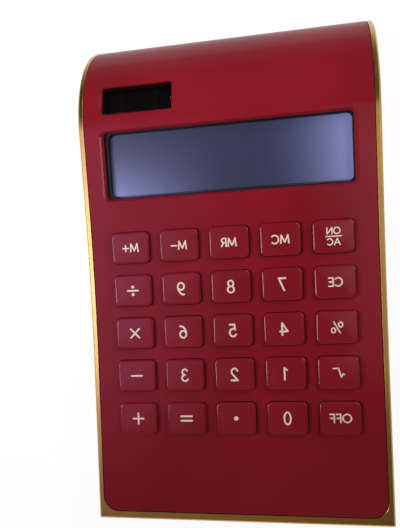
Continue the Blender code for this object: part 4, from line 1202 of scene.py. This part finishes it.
def make_solar_window():
    """The smoked block in its opening, with softened edges, over its flange."""
    windows = settings("windows")
    top = -windows.solar_sink
    rows = (
        (0.0020, 0.0026, -0.0045),
        (0.0020, 0.0026, -0.0035),
        (0.0, 0.0006, -0.0035),
        (0.0, 0.0006, top - 0.00020),
        (-0.00006, 0.00054, top - 0.00006),
        (-0.00020, 0.0004, top),
    )
    rings = [
        ring(windows.solar_width + 2 * grow, windows.solar_length + 2 * grow, radius, height, 5)
        for grow, radius, height in rows
    ]
    window = stack("smoked_window", rings, face_frame(windows.solar_station, -hand() * windows.solar_reach))
    smooth(outward(window), 8.0)
    give(window, "smoked_window", "housing", "smoked_acrylic", "solar_window")


def stand(name):
    """Where a packed round piece stands: a matrix at the middle of its underside, its radius and its height."""
    low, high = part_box(name)
    middle = Matrix.Translation(((low.x + high.x) / 2, (low.y + high.y) / 2, low.z))
    return middle, (high.x - low.x) / 2, high.z - low.z


def make_feet():
    """Rubber feet: turned discs with a rounded lower edge and a shallow hollow."""
    turn = np.linspace(0.0, math.pi / 2, 6)
    r = 0.0004
    for number in range(1, 5):
        name = f"rubber_foot_{number}"
        at, radius, height = stand(name)
        edge = np.stack((radius - r + r * np.sin(turn), r - r * np.cos(turn)), axis=1)
        hollow = ((0.0001, 0.00018), (0.0016, 0.00018), (0.0019, 0.0))
        foot = lathe(name + "_pad", np.concatenate((hollow, edge, [(radius, height), (0.0001, height)])), at)
        smooth(outward(foot), 35.0)
        give(foot, "black_rubber", "housing", "rubber", name)


def make_case_screws():
    """Pan-headed screws with a cross recess, cut by two crossed tapering wedges."""
    turn = np.linspace(0.0, math.pi / 2, 7)
    head, shank = 0.0014, 0.0012
    for number in range(1, 5):
        name = f"case_screw_{number}"
        at, radius, height = stand(name)
        pan = np.stack((radius * np.sin(turn) ** 0.7, head * 0.55 * (1 - np.cos(turn))), axis=1)
        pan[0, 0] = AXIS
        rest = ((radius, head), (shank, head), (shank, height - shank), (shank / 2, height), (AXIS, height))
        screw = outward(lathe(name + "_head", np.concatenate((pan, rest)), at, 32))
        wedge = [
            ring(width, along, 0.00012, z, 3)
            for width, along, z in ((0.0027, 0.0006, -0.0004), (0.0025, 0.00055, 0.0002), (0.0010, 0.0004, 0.0010))
        ]
        sides = [at @ Matrix.Rotation(side, 4, "Z") for side in (0.0, math.pi / 2)]
        carve(screw, [("DIFFERENCE", stack("wedge", wedge, side)) for side in sides])
        smooth(screw, 30.0)
        give(screw, "nickel_steel", "housing", "steel", name)


def dress_nodes():
    """Gives every packed node that stays its finish."""
    finishes = {
        "lacquer": "red_lacquer",
        "gilt": "gilt_plating",
        "black_plastic": "black_mask",
        "base_plastic": "textured_black",
        "clear_acrylic": "clear_lens",
        "display_glass": "display_tint",
        "foil": "reflector_foil",
        "silicone": "grey_silicone",
        "smoked_acrylic": "smoked_window",
        "solar_glass": "solar_strips",
        "laminate": "board_laminate",
        "resin": "black_resin",
        "cell_sleeve": "sleeve_film",
        "steel": "nickel_steel",
        "rubber": "black_rubber",
    }
    slots = {row["node"]: row["material_slot"] for row in frame["record"]["subparts"]}
    for name, node in frame["nodes"].items():
        node.data.materials.clear()
        node.data.materials.append(finish(finishes[slots[name]]))


def make_studio():
    """A pale floor, soft lights and the camera at the photograph's view."""
    studio, body = settings("studio"), settings("body")
    size = 3.0
    corners = [(-size, -size, 0), (size, -size, 0), (size, size, 0), (-size, size, 0)]
    floor = new_object("floor", corners, [(0, 1, 2, 3)])
    floor.data.materials.append(floor_finish(tuple(studio.floor_colour)))
    face_start = Matrix.Translation((0.0, body.front_rim - rear_end() / 2, body.front_height))
    to_face = face_start @ Matrix.Rotation(body.tilt, 4, "X")
    right, up = Vector(studio.camera_right), Vector(studio.camera_up)
    turn = Matrix((right, up, right.cross(up))).transposed().to_4x4()
    data = bpy.data.cameras.new("photo_view")
    data.sensor_width = 36.0
    data.lens = studio.focal_length
    data.clip_start = 0.01
    data.shift_y = studio.shift_up
    camera = bpy.data.objects.new("photo_view", data)
    bpy.context.scene.collection.objects.link(camera)
    camera.matrix_world = to_face @ Matrix.Translation(Vector(studio.camera_place) / 1000) @ turn
    bpy.context.scene.camera = camera
    soft_light("left_light", (-0.30, -0.03, 0.30), (-0.01, 0.13, 0.03), (0.20, 0.20), studio.left_power, 84.0)
    soft_light("right_light", (0.30, 0.10, 0.24), (0.01, 0.11, 0.03), (0.18, 0.14), studio.right_power)
    soft_light("corner_light", (0.21, 0.25, 0.25), (0.01, 0.02, 0.02), (0.10, 0.10), studio.corner_power)
    make_sky(studio)
    bpy.context.scene.view_settings.view_transform = "Standard"


def soft_light(name, place, target, size, power, spread_degrees=72.0):
    """A rectangular soft light that faces a place and fades away from it."""
    data = bpy.data.lights.new(name, "AREA")
    data.shape = "RECTANGLE"
    data.size, data.size_y = size
    data.energy = power
    data.color = (1.0, 0.96, 0.94)
    data.spread = math.radians(spread_degrees)
    light = bpy.data.objects.new(name, data)
    bpy.context.scene.collection.objects.link(light)
    light.location = place
    light.rotation_mode = "QUATERNION"
    light.rotation_quaternion = (Vector(target) - Vector(place)).to_track_quat("-Z", "Y")


def make_sky(studio):
    """The surrounding light: pale round the horizon, dim overhead, with soft glows left, right and in front."""
    world = bpy.data.worlds.new("studio_sky")
    bpy.context.scene.world = world
    world.use_nodes = True
    tree = world.node_tree
    place = add(tree, "TexCoord", {}).outputs["Generated"]
    height = add(tree, "SeparateXYZ", {"Vector": place}).outputs["Z"]
    room = ramp(tree, height, (0.0, grey(0.55)), (0.2, grey(0.38)), (0.45, grey(0.12)), (1.0, grey(0.03)))
    glows = (
        ((-0.40, -0.10, 0.91), 0.36, 1.6, [2.8 * c for c in studio.haze]),
        ((0.14, -0.10, 0.98), 0.17, 1.2, [2.4 * c for c in studio.sheen]),
        ((-0.13, -0.52, 0.84), 0.34, 0.7, (0.26, 0.16, 0.03)),
    )
    for toward, radius, power, tint in glows:
        apart = add(tree, "VectorMath", {0: place, 1: toward}, operation="DISTANCE").outputs["Value"]
        near = combined(tree, "POWER", mapped(tree, apart, 0.0, 1.0, radius, 0.0), power)
        room = added(tree, room, ramp(tree, near, (0.0, grey(0.0)), (1.0, tint)))
    plug(tree, tree.nodes["Background"], {"Color": room, "Strength": studio.sky_strength})


# Operators


class CALCULATOR_OT_cover(bpy.types.Operator):
    """Builds the lacquered cover"""

    bl_idname = "calculator.cover"
    bl_label = "Cover"

    def execute(self, context):
        make_cover()
        return {"FINISHED"}


class CALCULATOR_OT_frame(bpy.types.Operator):
    """Builds the gilt frame"""

    bl_idname = "calculator.frame"
    bl_label = "Gilt Frame"

    def execute(self, context):
        make_gilt_frame()
        return {"FINISHED"}


class CALCULATOR_OT_keys(bpy.types.Operator):
    """Builds the 25 keys"""

    bl_idname = "calculator.keys"
    bl_label = "Keys"

    def execute(self, context):
        for name, _, x, station in key_places():
            make_key(name, x, station)
        return {"FINISHED"}


class CALCULATOR_OT_key_mat(bpy.types.Operator):
    """Builds the key mat's sheet and its domes"""

    bl_idname = "calculator.key_mat"
    bl_label = "Key mat"

    def execute(self, context):
        make_key_mat()
        return {"FINISHED"}


class CALCULATOR_OT_legends(bpy.types.Operator):
    """Prints the keys' legends"""

    bl_idname = "calculator.legends"
    bl_label = "Legends"

    def execute(self, context):
        for name, legend, x, station in key_places():
            make_legend(name, legend, x, station)
        return {"FINISHED"}


class CALCULATOR_OT_windows(bpy.types.Operator):
    """Builds the display's mask and lens and the solar window"""

    bl_idname = "calculator.windows"
    bl_label = "Windows"

    def execute(self, context):
        make_display()
        make_solar_window()
        return {"FINISHED"}


class CALCULATOR_OT_underside(bpy.types.Operator):
    """Builds the feet and the case screws"""

    bl_idname = "calculator.underside"
    bl_label = "Underside"

    def execute(self, context):
        make_feet()
        make_case_screws()
        return {"FINISHED"}


class CALCULATOR_OT_finishes(bpy.types.Operator):
    """Gives the packed nodes their finishes"""

    bl_idname = "calculator.finishes"
    bl_label = "Finishes"

    def execute(self, context):
        dress_nodes()
        return {"FINISHED"}


class CALCULATOR_OT_studio(bpy.types.Operator):
    """Sets the floor, the lights and the camera"""

    bl_idname = "calculator.studio"
    bl_label = "Studio"

    def execute(self, context):
        make_studio()
        return {"FINISHED"}


OPERATORS = (
    CALCULATOR_OT_studio,
    CALCULATOR_OT_finishes,
    CALCULATOR_OT_cover,
    CALCULATOR_OT_frame,
    CALCULATOR_OT_keys,
    CALCULATOR_OT_key_mat,
    CALCULATOR_OT_legends,
    CALCULATOR_OT_windows,
    CALCULATOR_OT_underside,
)


class CALCULATOR_PT_dresser(bpy.types.Panel):
    """Lists the calculator's pieces and settings"""

    bl_label = "Desktop Calculator"
    bl_idname = "CALCULATOR_PT_dresser"
    bl_space_type = "VIEW_3D"
    bl_region_type = "UI"
    bl_category = "Calculator"

    def draw(self, context):
        for operator in OPERATORS:
            self.layout.operator(operator.bl_idname)
        for name, group in GROUPS.items():
            box = self.layout.box()
            box.label(text=group.__doc__)
            for field in group.__annotations__:
                box.prop(getattr(context.scene, name), field)


CLASSES = (*GROUPS.values(), *OPERATORS, CALCULATOR_PT_dresser)


def register():
    for cls in CLASSES:
        bpy.utils.register_class(cls)
    for name, group in GROUPS.items():
        setattr(bpy.types.Scene, name, bpy.props.PointerProperty(type=group))


def unregister():
    for name in GROUPS:
        delattr(bpy.types.Scene, name)
    for cls in reversed(CLASSES):
        bpy.utils.unregister_class(cls)


def main():
    register()
    for operator in OPERATORS:
        getattr(bpy.ops.calculator, operator.bl_idname.split(".")[1])()


if __name__ == "__main__":
    main()
